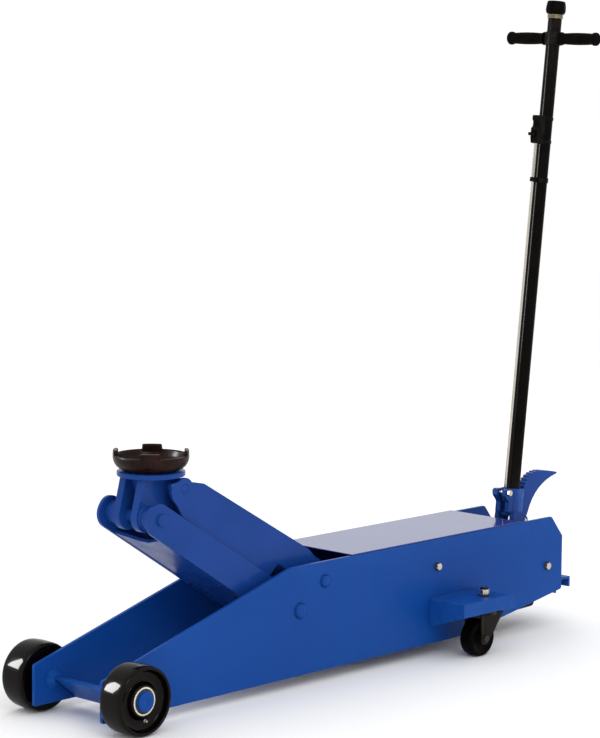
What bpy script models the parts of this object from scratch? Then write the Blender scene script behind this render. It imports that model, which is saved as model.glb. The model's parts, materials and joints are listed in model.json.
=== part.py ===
"""A long-chassis trolley jack, built as the separate pieces it comes apart into.

The chassis points along +X (saddle end), the handle stands at the -X end and +Z is up.
Every x below is measured from the front wheel centres and every z from the ground;
FRONT_AXLE_X moves the whole jack so that the origin lies under the middle of its outline.
The lift arm, the link arm and the saddle head form a parallelogram: the saddle stays level.
"""
import math

import bmesh
import bpy
from mathutils import Matrix, Vector

# ---------------------------------------------------------------- driving dimensions (m)
FRONT_AXLE_X = 0.70845
GAP = 0.0003

PLATE_T = 0.008
PLATE_OUT = 0.1051
PLATE_IN = PLATE_OUT - PLATE_T
BETWEEN_PLATES = PLATE_IN - GAP
PLATE_FRONT = 0.0503
PLATE_REAR = -1.3925
PLATE_TOP = 0.2613
PLATE_KNEE_X = -0.4827
NOSE_TOP = 0.1072
NOSE_BOTTOM = 0.0219
BREAK_X, BREAK_Z = -1.0518, 0.0295
REAR_TOP_X = -1.3525
REAR_CHAMFER_Z = 0.2123
REAR_BOTTOM_Z = 0.0867

COVER_FRONT, COVER_REAR = -0.6706, -1.2378
COVER_T = 0.0027
COVER_SKIRT = 0.016
COVER_EDGE = 0.0008

WHEEL_R = 0.0715
WHEEL_W = 0.0616
WHEEL_Y = 0.1468
STUB_R = 0.0208
BEARING_R = 0.029

CASTER_X, CASTER_Y = -1.0343, 0.170
CASTER_TRAIL = 0.022
CASTER_R = 0.0415
CASTER_W = 0.037
SHELF_TOP = 0.1315

LOWER_PIVOT = (-0.5108, 0.1658)
PIVOT_OFFSET = (-0.0759, 0.0530)
UPPER_PIVOT = (LOWER_PIVOT[0] + PIVOT_OFFSET[0], LOWER_PIVOT[1] + PIVOT_OFFSET[1])
ARM_LENGTH = 0.4416
ARM_ANGLE = math.radians(32.27)
HEAD_PIVOT = (
    LOWER_PIVOT[0] + ARM_LENGTH * math.cos(ARM_ANGLE),
    LOWER_PIVOT[1] + ARM_LENGTH * math.sin(ARM_ANGLE),
)
ARM_BELOW, ARM_ABOVE = 0.037, 0.030
ARM_OUT, ARM_PLATE_T = 0.0754, 0.008
LINK_OUT, LINK_PLATE_T = 0.0640, 0.007
LOWER_SHAFT_R, UPPER_SHAFT_R = 0.0155, 0.0125
HEAD_PIN_R, LINK_PIN_R = 0.0125, 0.010
SADDLE_X = -0.0421
SADDLE_R = 0.078

RAM_DROP = 0.080
RAM_FORWARD = 0.0185
RAM_Z = LOWER_PIVOT[1] - RAM_DROP
RAM_PIN_X = LOWER_PIVOT[0] + RAM_FORWARD
RAM_PIN_R = 0.009
ROD_R = 0.016
CYLINDER_R, BORE_R = 0.032, 0.024
CYLINDER_FRONT, BLOCK_FRONT = -0.615, -1.175
TANK_R, TANK_T = 0.050, 0.004
TANK_FRONT = -0.720
FRONT_BOLT = (-0.9493, 0.2001)
REAR_BOLT = (-1.3355, 0.1486)
POWER_BOLT_R = 0.006

HANDLE_PIVOT = (-1.3245, 0.215)
HANDLE_LEAN = math.radians(6.59)
TUBE_R, TUBE_T = 0.016, 0.003
SOCKET_TOP = 0.1034
SOCKET_HALF = 0.021
T_BAR_S = 1.151
TUBE_TOP = 1.1965
KNOB_TOP = 1.2375
GRIP_END = 0.1288
LOCK_ROD_X, LOCK_ROD_R = 0.030, 0.0022
NOSE_X, NOSE_Z, NOSE_R = 0.018, -0.028, 0.008
PEDAL_PIVOT = (-0.034, 0.030)
HORN_X, HORN_Z, HORN_WIDE, HORN_HIGH = -0.0904, 0.1012, 0.0590, 0.0425
TOOTH_COUNT, TOOTH_DEPTH = 8, 0.0028
PLUNGER_Z = 0.1893
PLUNGER_TIP = -1.2932
PLUNGER_R = 0.007

FINE, MEDIUM, COARSE, SMALL = 32, 24, 16, 12

SIDES = (("left", 1), ("right", -1))


# ---------------------------------------------------------------- helpers: materials, meshes
def make_material(name, colour, roughness, metallic=0.0):
    """A plain Principled material in the piece's own colour."""
    made = bpy.data.materials.new(name)
    made.use_nodes = True
    shader = made.node_tree.nodes["Principled BSDF"]
    shader.inputs["Base Color"].default_value = (*colour, 1.0)
    shader.inputs["Roughness"].default_value = roughness
    shader.inputs["Metallic"].default_value = metallic
    made.diffuse_color = (*colour, 1.0)
    return made


def clear_scene():
    """Remove whatever the scene held before."""
    for old in list(bpy.data.objects):
        bpy.data.objects.remove(old, do_unlink=True)


def place(x, y, z):
    """A point of the jack, given from the front wheel centres and the ground."""
    return Vector((FRONT_AXLE_X + x, y, z))


def ring(radius, height, segments, centre=(0.0, 0.0)):
    """Points of a circle in a plane of constant z."""
    turn = 2.0 * math.pi / segments
    return [
        (centre[0] + radius * math.cos(i * turn), centre[1] + radius * math.sin(i * turn), height)
        for i in range(segments)
    ]


def loft(name, loops, material, hollow=False):
    """A solid whose skin runs through loops of equal length, capped unless hollow."""
    bm = bmesh.new()
    rows = [[bm.verts.new(point) for point in loop] for loop in loops]
    count = len(rows[0])
    pairs = list(zip(rows, rows[1:]))
    if hollow:
        pairs.append((rows[-1], rows[0]))
    for lower, upper in pairs:
        for i in range(count):
            j = (i + 1) % count
            bm.faces.new((lower[i], lower[j], upper[j], upper[i]))
    if not hollow:
        bm.faces.new(list(reversed(rows[0])))
        bm.faces.new(rows[-1])
    bmesh.ops.recalc_face_normals(bm, faces=bm.faces)
    mesh = bpy.data.meshes.new(name)
    bm.to_mesh(mesh)
    bm.free()
    mesh.shade_smooth()
    mesh.set_sharp_from_angle(angle=math.radians(35.0))
    mesh.materials.append(material)
    made = bpy.data.objects.new(name, mesh)
    bpy.context.scene.collection.objects.link(made)
    return made


def turned(name, profile, segments, material, hollow=False):
    """A solid of revolution about z through (radius, height) points."""
    return loft(name, [ring(r, z, segments) for r, z in profile], material, hollow)


def tube(name, outer, inner, low, high, segments, material):
    """A plain round tube along z."""
    profile = [(outer, low), (outer, high), (inner, high), (inner, low)]
    return turned(name, profile, segments, material, hollow=True)


def slab(name, outline, y0, y1, material):
    """An outline in x and z, carried along y from y0 to y1."""
    return loft(name, [[(x, y, z) for x, z in outline] for y in (y0, y1)], material)


def box(name, x0, x1, y0, y1, z0, z1, material):
    """A plain block."""
    return slab(name, [(x0, z0), (x1, z0), (x1, z1), (x0, z1)], y0, y1, material)


def bar(name, x, z, radius, y0, y1, segments, material):
    """A round bar along y."""
    return slab(name, [(p[0], p[1]) for p in ring(radius, 0.0, segments, (x, z))], y0, y1, material)


def arc(x, z, radius, start, end, steps):
    """Points along an arc, angles in degrees."""
    points = []
    for i in range(steps + 1):
        angle = math.radians(start + (end - start) * i / steps)
        points.append((x + radius * math.cos(angle), z + radius * math.sin(angle)))
    return points


def rounded(corners, steps=3):
    """An outline from (x, z, radius) corners, each corner rounded by its own radius."""
    points = []
    for i, (x, z, radius) in enumerate(corners):
        here = Vector((x, z))
        before = Vector(corners[i - 1][:2]) - here
        after = Vector(corners[(i + 1) % len(corners)][:2]) - here
        if radius <= 0.0:
            points.append((x, z))
            continue
        half = before.angle(after) / 2.0
        reach = radius / math.tan(half)
        middle = (before.normalized() + after.normalized()).normalized()
        centre = here + middle * radius / math.sin(half)
        start = here + before.normalized() * reach - centre
        end = here + after.normalized() * reach - centre
        sweep = math.atan2(start.x * end.y - start.y * end.x, start.dot(end))
        for k in range(steps + 1):
            turn = Matrix.Rotation(sweep * k / steps, 2)
            spot = centre + turn @ start
            points.append((spot.x, spot.y))
    return points


def hull(circles, steps=16):
    """The taut outline around circles (x, z, radius), in counter-clockwise order."""
    cloud = []
    for x, z, radius in circles:
        cloud += [(round(p[0], 6), round(p[1], 6)) for p in arc(x, z, radius, 0.0, 360.0, steps)]
    cloud = sorted(set(cloud))

    def chain(points):
        kept = []
        for p in points:
            while len(kept) > 1:
                (ax, az), (bx, bz) = kept[-2], kept[-1]
                if (bx - ax) * (p[1] - az) - (bz - az) * (p[0] - ax) > 1e-10:
                    break
                kept.pop()
            kept.append(p)
        return kept[:-1]

    return chain(cloud) + chain(list(reversed(cloud)))


def tilt(piece, about):
    """Lay a piece made along z onto another axis, in its mesh."""
    turns = {
        "y": Matrix.Rotation(math.radians(-90.0), 4, "X"),
        "-y": Matrix.Rotation(math.radians(90.0), 4, "X"),
        "x": Matrix.Rotation(math.radians(90.0), 4, "Y"),
    }
    piece.data.transform(turns[about])
    return piece


def shift(piece, x=0.0, y=0.0, z=0.0):
    """Move a piece's mesh within its own frame."""
    piece.data.transform(Matrix.Translation((x, y, z)))
    return piece


def turn_about_z(piece, degrees):
    """Turn a piece's mesh about its own z axis."""
    piece.data.transform(Matrix.Rotation(math.radians(degrees), 4, "Z"))
    return piece


def boolean(piece, tool, operation):
    """Add or remove a tool, which becomes a hidden guide that follows the piece."""
    tool.parent = piece
    tool.hide_render = True
    tool.display_type = "WIRE"
    step = piece.modifiers.new(operation.lower(), "BOOLEAN")
    step.operation = operation
    step.solver = "EXACT"
    step.object = tool


def cut(piece, *tools):
    """Take the tools' volume out of the piece."""
    for tool in tools:
        boolean(piece, tool, "DIFFERENCE")
    return piece


def weld(piece, *tools):
    """Join the tools' volume to the piece."""
    for tool in tools:
        boolean(piece, tool, "UNION")
    return piece


def drill(piece, x, z, radius, y0, y1, segments=COARSE):
    """A round hole along y."""
    return cut(piece, bar("hole", x, z, radius, y0, y1, segments, piece.data.materials[0]))


def drill_down(piece, x, y, radius, z0, z1, segments=COARSE):
    """A round hole along z."""
    loops = [ring(radius, z, segments, (x, y)) for z in (z0, z1)]
    return cut(piece, loft("hole", loops, piece.data.materials[0]))


def seat(piece, x, y, z, lean=0.0):
    """Put a piece at its place, its origin on its joint's axis, leaning about y."""
    piece.location = place(x, y, z)
    piece.rotation_euler = (0.0, lean, 0.0)
    return piece


def on_handle(piece, x=0.0, z=0.0):
    """Put a piece made upright on the leaning handle, its origin (x, z) away from the pump pivot."""
    across = x * math.cos(HANDLE_LEAN) - z * math.sin(HANDLE_LEAN)
    above = x * math.sin(HANDLE_LEAN) + z * math.cos(HANDLE_LEAN)
    return seat(piece, HANDLE_PIVOT[0] + across, 0.0, HANDLE_PIVOT[1] + above, -HANDLE_LEAN)


# ---------------------------------------------------------------- chassis
def side_plate(side, sign):
    """A flat plate with a low nose, a raised back and a chamfered tail."""
    corners = [
        (PLATE_FRONT, NOSE_BOTTOM, 0.004),
        (PLATE_FRONT, NOSE_TOP, 0.006),
        (PLATE_KNEE_X, PLATE_TOP, 0.060),
        (REAR_TOP_X, PLATE_TOP, 0.006),
        (PLATE_REAR, REAR_CHAMFER_Z, 0.006),
        (PLATE_REAR, REAR_BOTTOM_Z, 0.006),
        (BREAK_X, BREAK_Z, 0.0),
    ]
    plate = slab("side_plate_" + side, rounded(corners), sign * PLATE_IN, sign * PLATE_OUT, BLUE)
    reach = (sign * (PLATE_IN - 0.01), sign * (PLATE_OUT + 0.01))
    drill(plate, 0.0, WHEEL_R, STUB_R + GAP, *reach, segments=MEDIUM)
    drill(plate, *LOWER_PIVOT, LOWER_SHAFT_R + GAP, *reach)
    drill(plate, *UPPER_PIVOT, UPPER_SHAFT_R + GAP, *reach)
    for bolt in (FRONT_BOLT, REAR_BOLT):
        drill(plate, *bolt, POWER_BOLT_R + GAP, *reach, segments=SMALL)
    return seat(plate, 0.0, 0.0, 0.0)


def front_cross_member():
    """A folded plate between the side plates: a sloping face under a short shelf."""
    outline = [
        (-0.0600, 0.0225),
        (-0.0015, 0.0713),
        (-0.0270, 0.0713),
        (-0.0270, 0.0663),
        (-0.0145, 0.0663),
        (-0.0632, 0.0263),
    ]
    member = slab("front_cross_member", outline, -BETWEEN_PLATES, BETWEEN_PLATES, BLUE)
    return seat(member, 0.0, 0.0, 0.0)


def rear_cross_plate():
    """A folded plate that ties the tail and ends in a lip."""
    outline = [
        (-1.3790, 0.0760),
        (-1.3790, 0.1090),
        (-1.4345, 0.1090),
        (-1.4345, 0.0850),
        (-1.4285, 0.0850),
        (-1.4285, 0.1035),
        (-1.3840, 0.1035),
        (-1.3840, 0.0760),
    ]
    plate = slab("rear_cross_plate", outline, -BETWEEN_PLATES, BETWEEN_PLATES, BLUE)
    return seat(plate, 0.0, 0.0, 0.0)


def top_cover():
    """A thin sheet over the power unit, flanged down just inside the side plates."""
    low = PLATE_TOP + GAP
    top = low + COVER_T
    edge = PLATE_OUT - COVER_EDGE
    flange_out = PLATE_IN - 0.0010
    flange_in = flange_out - COVER_T
    foot = PLATE_TOP - COVER_SKIRT
    section = [
        (-edge, low),
        (-edge, top),
        (edge, top),
        (edge, low),
        (flange_out, low),
        (flange_out, foot),
        (flange_in, foot),
        (flange_in, low),
        (-flange_in, low),
        (-flange_in, foot),
        (-flange_out, foot),
        (-flange_out, low),
    ]
    loops = [[(x, y, z) for y, z in section] for x in (COVER_REAR, COVER_FRONT)]
    return seat(loft("top_cover", loops, BLUE), 0.0, 0.0, 0.0)


def stub_axle(side, sign):
    """A stub let into the side plate, with the collar that spaces its wheel."""
    profile = [
        (STUB_R, PLATE_IN),
        (STUB_R, PLATE_OUT + GAP),
        (0.0260, PLATE_OUT + GAP),
        (0.0260, 0.1155),
        (STUB_R, 0.1155),
        (STUB_R, 0.1775),
        (STUB_R - 0.002, 0.1795),
    ]
    stub = tilt(turned("stub_axle_" + side, profile, MEDIUM, BLUE), "y" if sign > 0 else "-y")
    return seat(stub, 0.0, 0.0, WHEEL_R)


def pivot_shaft(name, spot, radius):
    """A shaft through both side plates, with domed ends."""
    half = PLATE_OUT + 0.0075
    profile = [(radius * 0.55, -half), (radius * 0.88, -half + 0.0018), (radius, -half + 0.005)]
    profile += [(r, -y) for r, y in reversed(profile)]
    return seat(tilt(turned(name, profile, COARSE, BLUE), "y"), spot[0], 0.0, spot[1])


# ---------------------------------------------------------------- front wheels
def front_wheel(side, sign):
    """A crowned solid wheel, dished on its outer face, open for its bearing."""
    half = WHEEL_W / 2.0
    profile = [
        (BEARING_R + GAP, -half + 0.004),
        (0.0660, -half),
        (0.0708, -half + 0.006),
        (WHEEL_R, 0.0),
        (0.0708, half - 0.006),
        (0.0660, half),
        (0.0620, half - 0.002),
        (0.0570, half - 0.016),
        (0.0380, half - 0.018),
        (0.0345, half - 0.005),
        (BEARING_R + GAP, half - 0.004),
    ]
    wheel = turned("front_wheel_" + side, profile, FINE, BLACK, hollow=True)
    tilt(wheel, "y" if sign > 0 else "-y")
    return seat(wheel, 0.0, sign * WHEEL_Y, WHEEL_R)


def wheel_bearing(side, sign):
    """The roller bearing pressed into the wheel, turning on the stub."""
    half = WHEEL_W / 2.0
    bearing = tube(
        "wheel_bearing_" + side, BEARING_R, STUB_R + GAP, -half + 0.006, half - 0.004, MEDIUM, CREAM
    )
    tilt(bearing, "y" if sign > 0 else "-y")
    return seat(bearing, 0.0, sign * WHEEL_Y, WHEEL_R)


# ---------------------------------------------------------------- rear casters
def caster_bracket(side, sign):
    """A hood folded over each caster: flat top, rounded back, skirt that drops inward."""
    front, rear = -0.924, -1.099
    wall = 0.005
    y0, y1 = PLATE_OUT + GAP, 0.207
    low = 0.050
    outer = rounded(
        [(front, low, 0.0), (front, SHELF_TOP, 0.003), (rear, SHELF_TOP, 0.020), (rear, low, 0.0)]
    )
    bracket = slab("caster_bracket_" + side, outer, sign * y0, sign * y1, BLUE)
    inner = rounded(
        [
            (front - wall, low - 0.01, 0.0),
            (front - wall, SHELF_TOP - wall, 0.0),
            (rear + wall, SHELF_TOP - wall, 0.015),
            (rear + wall, low - 0.01, 0.0),
        ]
    )
    hollow = slab("inside", inner, sign * (y0 - 0.01), sign * (y1 - wall), BLUE)
    slope = [(sign * (y0 - 0.01), 0.0645), (sign * (y1 + 0.01), 0.1050)]
    section = [(sign * (y0 - 0.01), 0.0), *slope, (sign * (y1 + 0.01), 0.0)]
    wedge_loops = [[(x, y, z) for y, z in section] for x in (rear - 0.01, front + 0.01)]
    cut(bracket, hollow, loft("wedge", wedge_loops, BLUE))
    drill_down(bracket, CASTER_X, sign * CASTER_Y, 0.0063, 0.10, 0.15, SMALL)
    return seat(bracket, 0.0, 0.0, 0.0)


def caster_kingbolt(side, sign):
    """The bolt that the fork swivels on, with its lock nut on top of the hood."""
    bolt = turned(
        "caster_kingbolt_" + side,
        [(0.0095, 0.0840), (0.0095, 0.0890), (0.0060, 0.0890), (0.0060, 0.1520)],
        COARSE,
        STEEL,
    )
    top = SHELF_TOP + GAP
    washer = turned("washer", [(0.0125, top), (0.0125, top + 0.0040)], COARSE, STEEL)
    nut = turned("nut", [(0.0122, top + 0.0035), (0.0122, top + 0.0190)], 6, STEEL)
    weld(bolt, washer, nut)
    return seat(bolt, CASTER_X, sign * CASTER_Y, 0.0)


def caster_fork(side, sign):
    """Crown and two legs that trail the wheel ahead of the kingbolt."""
    crown = turned(
        "caster_fork_" + side, [(0.0290, 0.0920), (0.0290, 0.1010), (0.0230, 0.1255)], COARSE, FORK
    )
    leg_outline = hull([(-0.036, 0.094, 0.002), (0.034, 0.094, 0.002), (CASTER_TRAIL, CASTER_R, 0.0135)])
    cheek = CASTER_W / 2.0 + 0.0025
    legs = [slab("leg", leg_outline, s * cheek, s * (cheek + 0.004), FORK) for s in (1, -1)]
    bridge = box("bridge", -0.034, 0.032, -cheek - 0.002, cheek + 0.002, 0.0905, 0.0955, FORK)
    weld(crown, bridge, *legs)
    drill(crown, CASTER_TRAIL, CASTER_R, 0.0053, -0.03, 0.03, SMALL)
    drill_down(crown, 0.0, 0.0, 0.0064, 0.08, 0.13, SMALL)
    return seat(crown, CASTER_X, sign * CASTER_Y, 0.0)


def caster_axle_bolt(side, sign):
    """The bolt through the fork legs that carries the caster's wheel."""
    out = CASTER_W / 2.0 + 0.0025 + 0.004 + GAP
    bolt = bar("caster_axle_bolt_" + side, 0.0, 0.0, 0.0050, -out - 0.0045, out + 0.003, SMALL, DARK)
    head = bar("head", 0.0, 0.0, 0.0085, out, out + 0.0055, 6, DARK)
    nut = bar("nut", 0.0, 0.0, 0.0085, -out - 0.0060, -out, 6, DARK)
    weld(bolt, head, nut)
    if sign < 0:
        turn_about_z(bolt, 180.0)
        turn_about_z(head, 180.0)
        turn_about_z(nut, 180.0)
    return seat(bolt, CASTER_X + CASTER_TRAIL, sign * CASTER_Y, CASTER_R)


def caster_wheel(side, sign):
    """A small solid wheel with a rounded tread and stepped hub."""
    half = CASTER_W / 2.0
    profile = [
        (0.0055, -half + 0.0005),
        (0.0140, -half + 0.0005),
        (0.0300, -half + 0.004),
        (0.0370, -half + 0.0005),
        (CASTER_R, -half + 0.005),
    ]
    profile += [(r, -y) for r, y in reversed(profile)]
    wheel = tilt(turned("caster_wheel_" + side, profile, MEDIUM, BLACK, hollow=True), "y")
    return seat(wheel, CASTER_X + CASTER_TRAIL, sign * CASTER_Y, CASTER_R)


# ---------------------------------------------------------------- lifting linkage
def lift_arm():
    """The load-carrying arm: a U of two plates and a lower web, with hub and crank."""
    inner = ARM_OUT - ARM_PLATE_T
    tip = ARM_LENGTH + 0.037
    outline = rounded(
        [
            (-0.040, -0.0385, 0.036),
            (tip, -ARM_BELOW, 0.032),
            (tip, ARM_ABOVE, 0.029),
            (-0.040, 0.0360, 0.034),
        ],
        6,
    )
    arm = slab("lift_arm", outline, inner, ARM_OUT, BLUE)
    other = slab("plate", outline, -inner, -ARM_OUT, BLUE)
    plan = [(0.045, 1.0), (0.418, 1.0), (0.404, 0.55), (0.392, 0.20)]
    reach = inner + 0.003
    edge = [(x, y * reach) for x, y in plan] + [(x, -y * reach) for x, y in reversed(plan)]
    web = loft("web", [[(x, y, z) for x, y in edge] for z in (-0.0362, -0.0290)], BLUE)
    hub = bar("hub", 0.0, 0.0, 0.024, -BETWEEN_PLATES, BETWEEN_PLATES, COARSE, BLUE)
    weld(arm, other, web, hub)
    crank_turn = -math.atan2(RAM_DROP, RAM_FORWARD) - ARM_ANGLE
    for s in (1, -1):
        lug = slab("crank", hull([(0.0, 0.0, 0.028), (0.086, 0.0, 0.024)]), s * 0.020, s * 0.032, BLUE)
        lug.data.transform(Matrix.Rotation(-crank_turn, 4, "Y"))
        weld(arm, lug)
    slot = box("slot", 0.0685, 0.130, -0.04, 0.04, -0.0115, 0.0115, BLUE)
    slot.data.transform(Matrix.Rotation(-crank_turn, 4, "Y"))
    cut(arm, slot)
    drill(arm, 0.0, 0.0, LOWER_SHAFT_R + 0.0005, -0.12, 0.12)
    drill(arm, ARM_LENGTH, 0.0, HEAD_PIN_R + GAP, -0.1, 0.1)
    return seat(arm, LOWER_PIVOT[0], 0.0, LOWER_PIVOT[1], -ARM_ANGLE)


def link_arm():
    """The levelling arm nested in the lift arm: two plates under a top web."""
    inner = LINK_OUT - LINK_PLATE_T
    outline = arc(0.0, 0.0, 0.046, 75.0, 300.0, 14)
    outline += [(0.052, -0.0155), (0.110, -0.0155), (0.120, -0.0520), (0.418, -0.0500)]
    outline += arc(ARM_LENGTH, 0.0, 0.037, -85.0, -10.0, 7)
    outline += arc(ARM_LENGTH, 0.0, 0.0234, 15.0, 115.0, 7)
    outline += [(0.398, 0.0338), (0.040, 0.0500)]
    arm = slab("link_arm", outline, inner, LINK_OUT, BLUE)
    other = slab("plate", outline, -inner, -LINK_OUT, BLUE)
    strip = [(0.060, 0.0475), (0.378, 0.0332), (0.378, 0.0272), (0.060, 0.0415)]
    web = slab("web", strip, -inner - 0.003, inner + 0.003, BLUE)
    hub = bar("hub", 0.0, 0.0, 0.022, -BETWEEN_PLATES, BETWEEN_PLATES, COARSE, BLUE)
    weld(arm, other, web, hub)
    drill(arm, 0.0, 0.0, UPPER_SHAFT_R + 0.0005, -0.12, 0.12)
    drill(arm, ARM_LENGTH, 0.0, LINK_PIN_R + GAP, -0.1, 0.1)
    return seat(arm, UPPER_PIVOT[0], 0.0, UPPER_PIVOT[1], -ARM_ANGLE)


def cross_pin(name, spot, radius, half, material):
    """A pin along y with eased ends."""
    profile = [(radius - 0.0015, -half), (radius, -half + 0.0015)]
    profile += [(r, -y) for r, y in reversed(profile)]
    return seat(tilt(turned(name, profile, COARSE, material), "y"), spot[0], 0.0, spot[1])


def saddle_head():
    """The casting that carries the saddle: round top plate, two cheeks, pin bosses."""
    top_low, top_high = 0.0784, 0.0884
    loops = [ring(0.070, z, FINE, (SADDLE_X, 0.0)) for z in (top_low, top_high)]
    head = loft("saddle_head", loops, BLUE)
    cheek = hull(
        [
            (0.0, 0.0, 0.031),
            (*PIVOT_OFFSET, 0.022),
            (-0.086, 0.079, 0.002),
            (0.0095, 0.079, 0.002),
        ]
    )
    for s in (1, -1):
        weld(head, slab("cheek", cheek, s * 0.0170, s * 0.0350, BLUE))
    panel = [
        (-0.072, 0.081),
        (-0.066, 0.050),
        (-0.040, 0.018),
        (-0.030, 0.0235),
        (-0.012, 0.050),
        (-0.003, 0.081),
    ]
    weld(head, slab("panel", panel, -0.0190, 0.0190, BLUE))
    for s in (1, -1):
        lower = bar("boss", 0.0, 0.0, 0.024, s * 0.030, s * (ARM_OUT - ARM_PLATE_T - 0.0009), COARSE, BLUE)
        upper_out = LINK_OUT - LINK_PLATE_T - 0.0009
        upper = bar("boss", *PIVOT_OFFSET, 0.019, s * 0.030, s * upper_out, COARSE, BLUE)
        weld(head, lower, upper)
    neck_loops = [ring(0.0215, z, COARSE, (SADDLE_X, 0.0)) for z in (0.0440, 0.0800)]
    weld(head, loft("neck", neck_loops, BLUE))
    drill(head, 0.0, 0.0, HEAD_PIN_R + 0.0005, -0.1, 0.1)
    drill(head, *PIVOT_OFFSET, LINK_PIN_R + 0.0006, -0.1, 0.1)
    drill_down(head, SADDLE_X, 0.0, 0.0135, 0.03, 0.10)
    return seat(head, HEAD_PIVOT[0], 0.0, HEAD_PIVOT[1])


def saddle():
    """A cast dish on a spigot, with four raised lugs on its rim."""
    rim = 0.0327
    profile = [
        (0.0130, -0.0420),
        (0.0130, 0.0),
        (0.0500, 0.0),
        (0.0640, 0.0040),
        (0.0730, 0.0120),
        (SADDLE_R, 0.0240),
        (SADDLE_R, rim),
        (0.0725, rim),
        (0.0680, 0.0190),
        (0.0600, 0.0110),
        (0.0200, 0.0090),
    ]
    dish = turned("saddle", profile, FINE, CAST)
    lug_rows = []
    for z, inner_r in ((0.0250, 0.0712), (0.0432, 0.0690)):
        outer_row = [(x, y, z) for x, y in arc(0.0, 0.0, SADDLE_R - 0.0012, -16.0, 16.0, 4)]
        inner_row = [(x, y, z) for x, y in arc(0.0, 0.0, inner_r, 16.0, -16.0, 4)]
        lug_rows.append(outer_row + inner_row)
    for quarter in range(4):
        weld(dish, turn_about_z(loft("lug", lug_rows, CAST), 45.0 + 90.0 * quarter))
    return seat(dish, HEAD_PIVOT[0] + SADDLE_X, 0.0, HEAD_PIVOT[1] + 0.0884 + GAP)


# ---------------------------------------------------------------- power unit
def ram():
    """Piston, rod and flattened eye in one, made along x from the cross pin."""
    piston_x = -0.300
    profile = [
        (BORE_R - GAP, piston_x - 0.030),
        (BORE_R - GAP, piston_x),
        (ROD_R, piston_x),
        (ROD_R, -0.008),
    ]
    rod = tilt(turned("ram", profile, COARSE, CHROME), "x")
    weld(rod, bar("eye", 0.0, 0.0, 0.0185, -0.0160, 0.0160, COARSE, CHROME))
    drill(rod, 0.0, 0.0, RAM_PIN_R + GAP, -0.05, 0.05)
    return seat(rod, RAM_PIN_X, 0.0, RAM_Z)


def cylinder():
    """The pressure tube, open at the front for the ram, closed by the pump block."""
    profile = [
        (CYLINDER_R, BLOCK_FRONT + GAP),
        (CYLINDER_R, CYLINDER_FRONT),
        (BORE_R, CYLINDER_FRONT),
        (BORE_R, BLOCK_FRONT + 0.030),
    ]
    made = tilt(turned("cylinder", profile, MEDIUM, STEEL), "x")
    return seat(made, 0.0, 0.0, RAM_Z)


def gland_nut():
    """The nut that closes the cylinder around the rod."""
    face = CYLINDER_FRONT + GAP
    profile = [(0.037, face), (0.037, face + 0.016), (ROD_R + 0.0004, face + 0.016), (ROD_R + 0.0004, face)]
    nut = tilt(turned("gland_nut", profile, COARSE, STEEL, hollow=True), "x")
    return seat(nut, 0.0, 0.0, RAM_Z)


def oil_tank():
    """The reservoir tube around the cylinder, with its front end wall."""
    hole = CYLINDER_R + GAP
    profile = [
        (TANK_R, BLOCK_FRONT + GAP),
        (TANK_R, TANK_FRONT),
        (hole, TANK_FRONT),
        (hole, TANK_FRONT - 0.006),
        (TANK_R - TANK_T, TANK_FRONT - 0.006),
        (TANK_R - TANK_T, BLOCK_FRONT + GAP),
    ]
    tank = tilt(turned("oil_tank", profile, MEDIUM, STEEL, hollow=True), "x")
    return seat(tank, 0.0, 0.0, RAM_Z)


def tank_support():
    """The front yoke that bolts the power unit between the side plates."""
    corners = [
        (-BETWEEN_PLATES, 0.170, 0.010),
        (-BETWEEN_PLATES, 0.225, 0.010),
        (BETWEEN_PLATES, 0.225, 0.010),
        (BETWEEN_PLATES, 0.170, 0.010),
        (0.062, 0.130, 0.0),
        (0.062, 0.035, 0.010),
        (-0.062, 0.035, 0.010),
        (-0.062, 0.130, 0.0),
    ]
    section = rounded(corners, 3)
    loops = [[(x, y, z) for y, z in section] for x in (-0.011, 0.011)]
    yoke = loft("tank_support", loops, STEEL)
    bore = tilt(turned("bore", [(TANK_R + GAP, -0.03), (TANK_R + GAP, 0.03)], MEDIUM, STEEL), "x")
    cut(yoke, shift(bore, z=RAM_Z))
    for s in (1, -1):
        drill(yoke, 0.0, FRONT_BOLT[1], POWER_BOLT_R + GAP, s * 0.072, s * 0.12, SMALL)
    return seat(yoke, FRONT_BOLT[0], 0.0, 0.0)


def pump_block():
    """The rear casting: valve body, plunger turret, handle ears and side bosses."""
    px, pz = HANDLE_PIVOT
    outline = rounded(
        [
            (-1.365, 0.042, 0.010),
            (BLOCK_FRONT, 0.036, 0.006),
            (BLOCK_FRONT, 0.150, 0.012),
            (-1.365, 0.150, 0.008),
        ]
    )
    block = slab("pump_block", outline, -0.046, 0.046, CAST)
    weld(block, bar("boss", *REAR_BOLT, 0.016, -BETWEEN_PLATES, BETWEEN_PLATES, COARSE, CAST))
    ear = hull([(px, pz, 0.018), (-1.352, 0.140, 0.004), (-1.290, 0.140, 0.004)])
    for s in (1, -1):
        weld(block, slab("ear", ear, s * 0.0345, s * 0.0455, CAST))
    weld(block, box("turret", -1.270, -1.200, -0.018, 0.018, 0.140, 0.207, CAST))
    drill(block, px, pz, 0.0083, -0.1, 0.1, COARSE)
    for s in (1, -1):
        drill(block, *REAR_BOLT, POWER_BOLT_R + GAP, s * 0.072, s * 0.12, SMALL)
    bore = tilt(turned("bore", [(PLUNGER_R + GAP, -1.28), (PLUNGER_R + GAP, -1.218)], SMALL, CAST), "x")
    cut(block, shift(bore, z=PLUNGER_Z))
    drill_down(block, px, 0.0, 0.0063, 0.125, 0.180, SMALL)
    return seat(block, 0.0, 0.0, 0.0)


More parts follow.
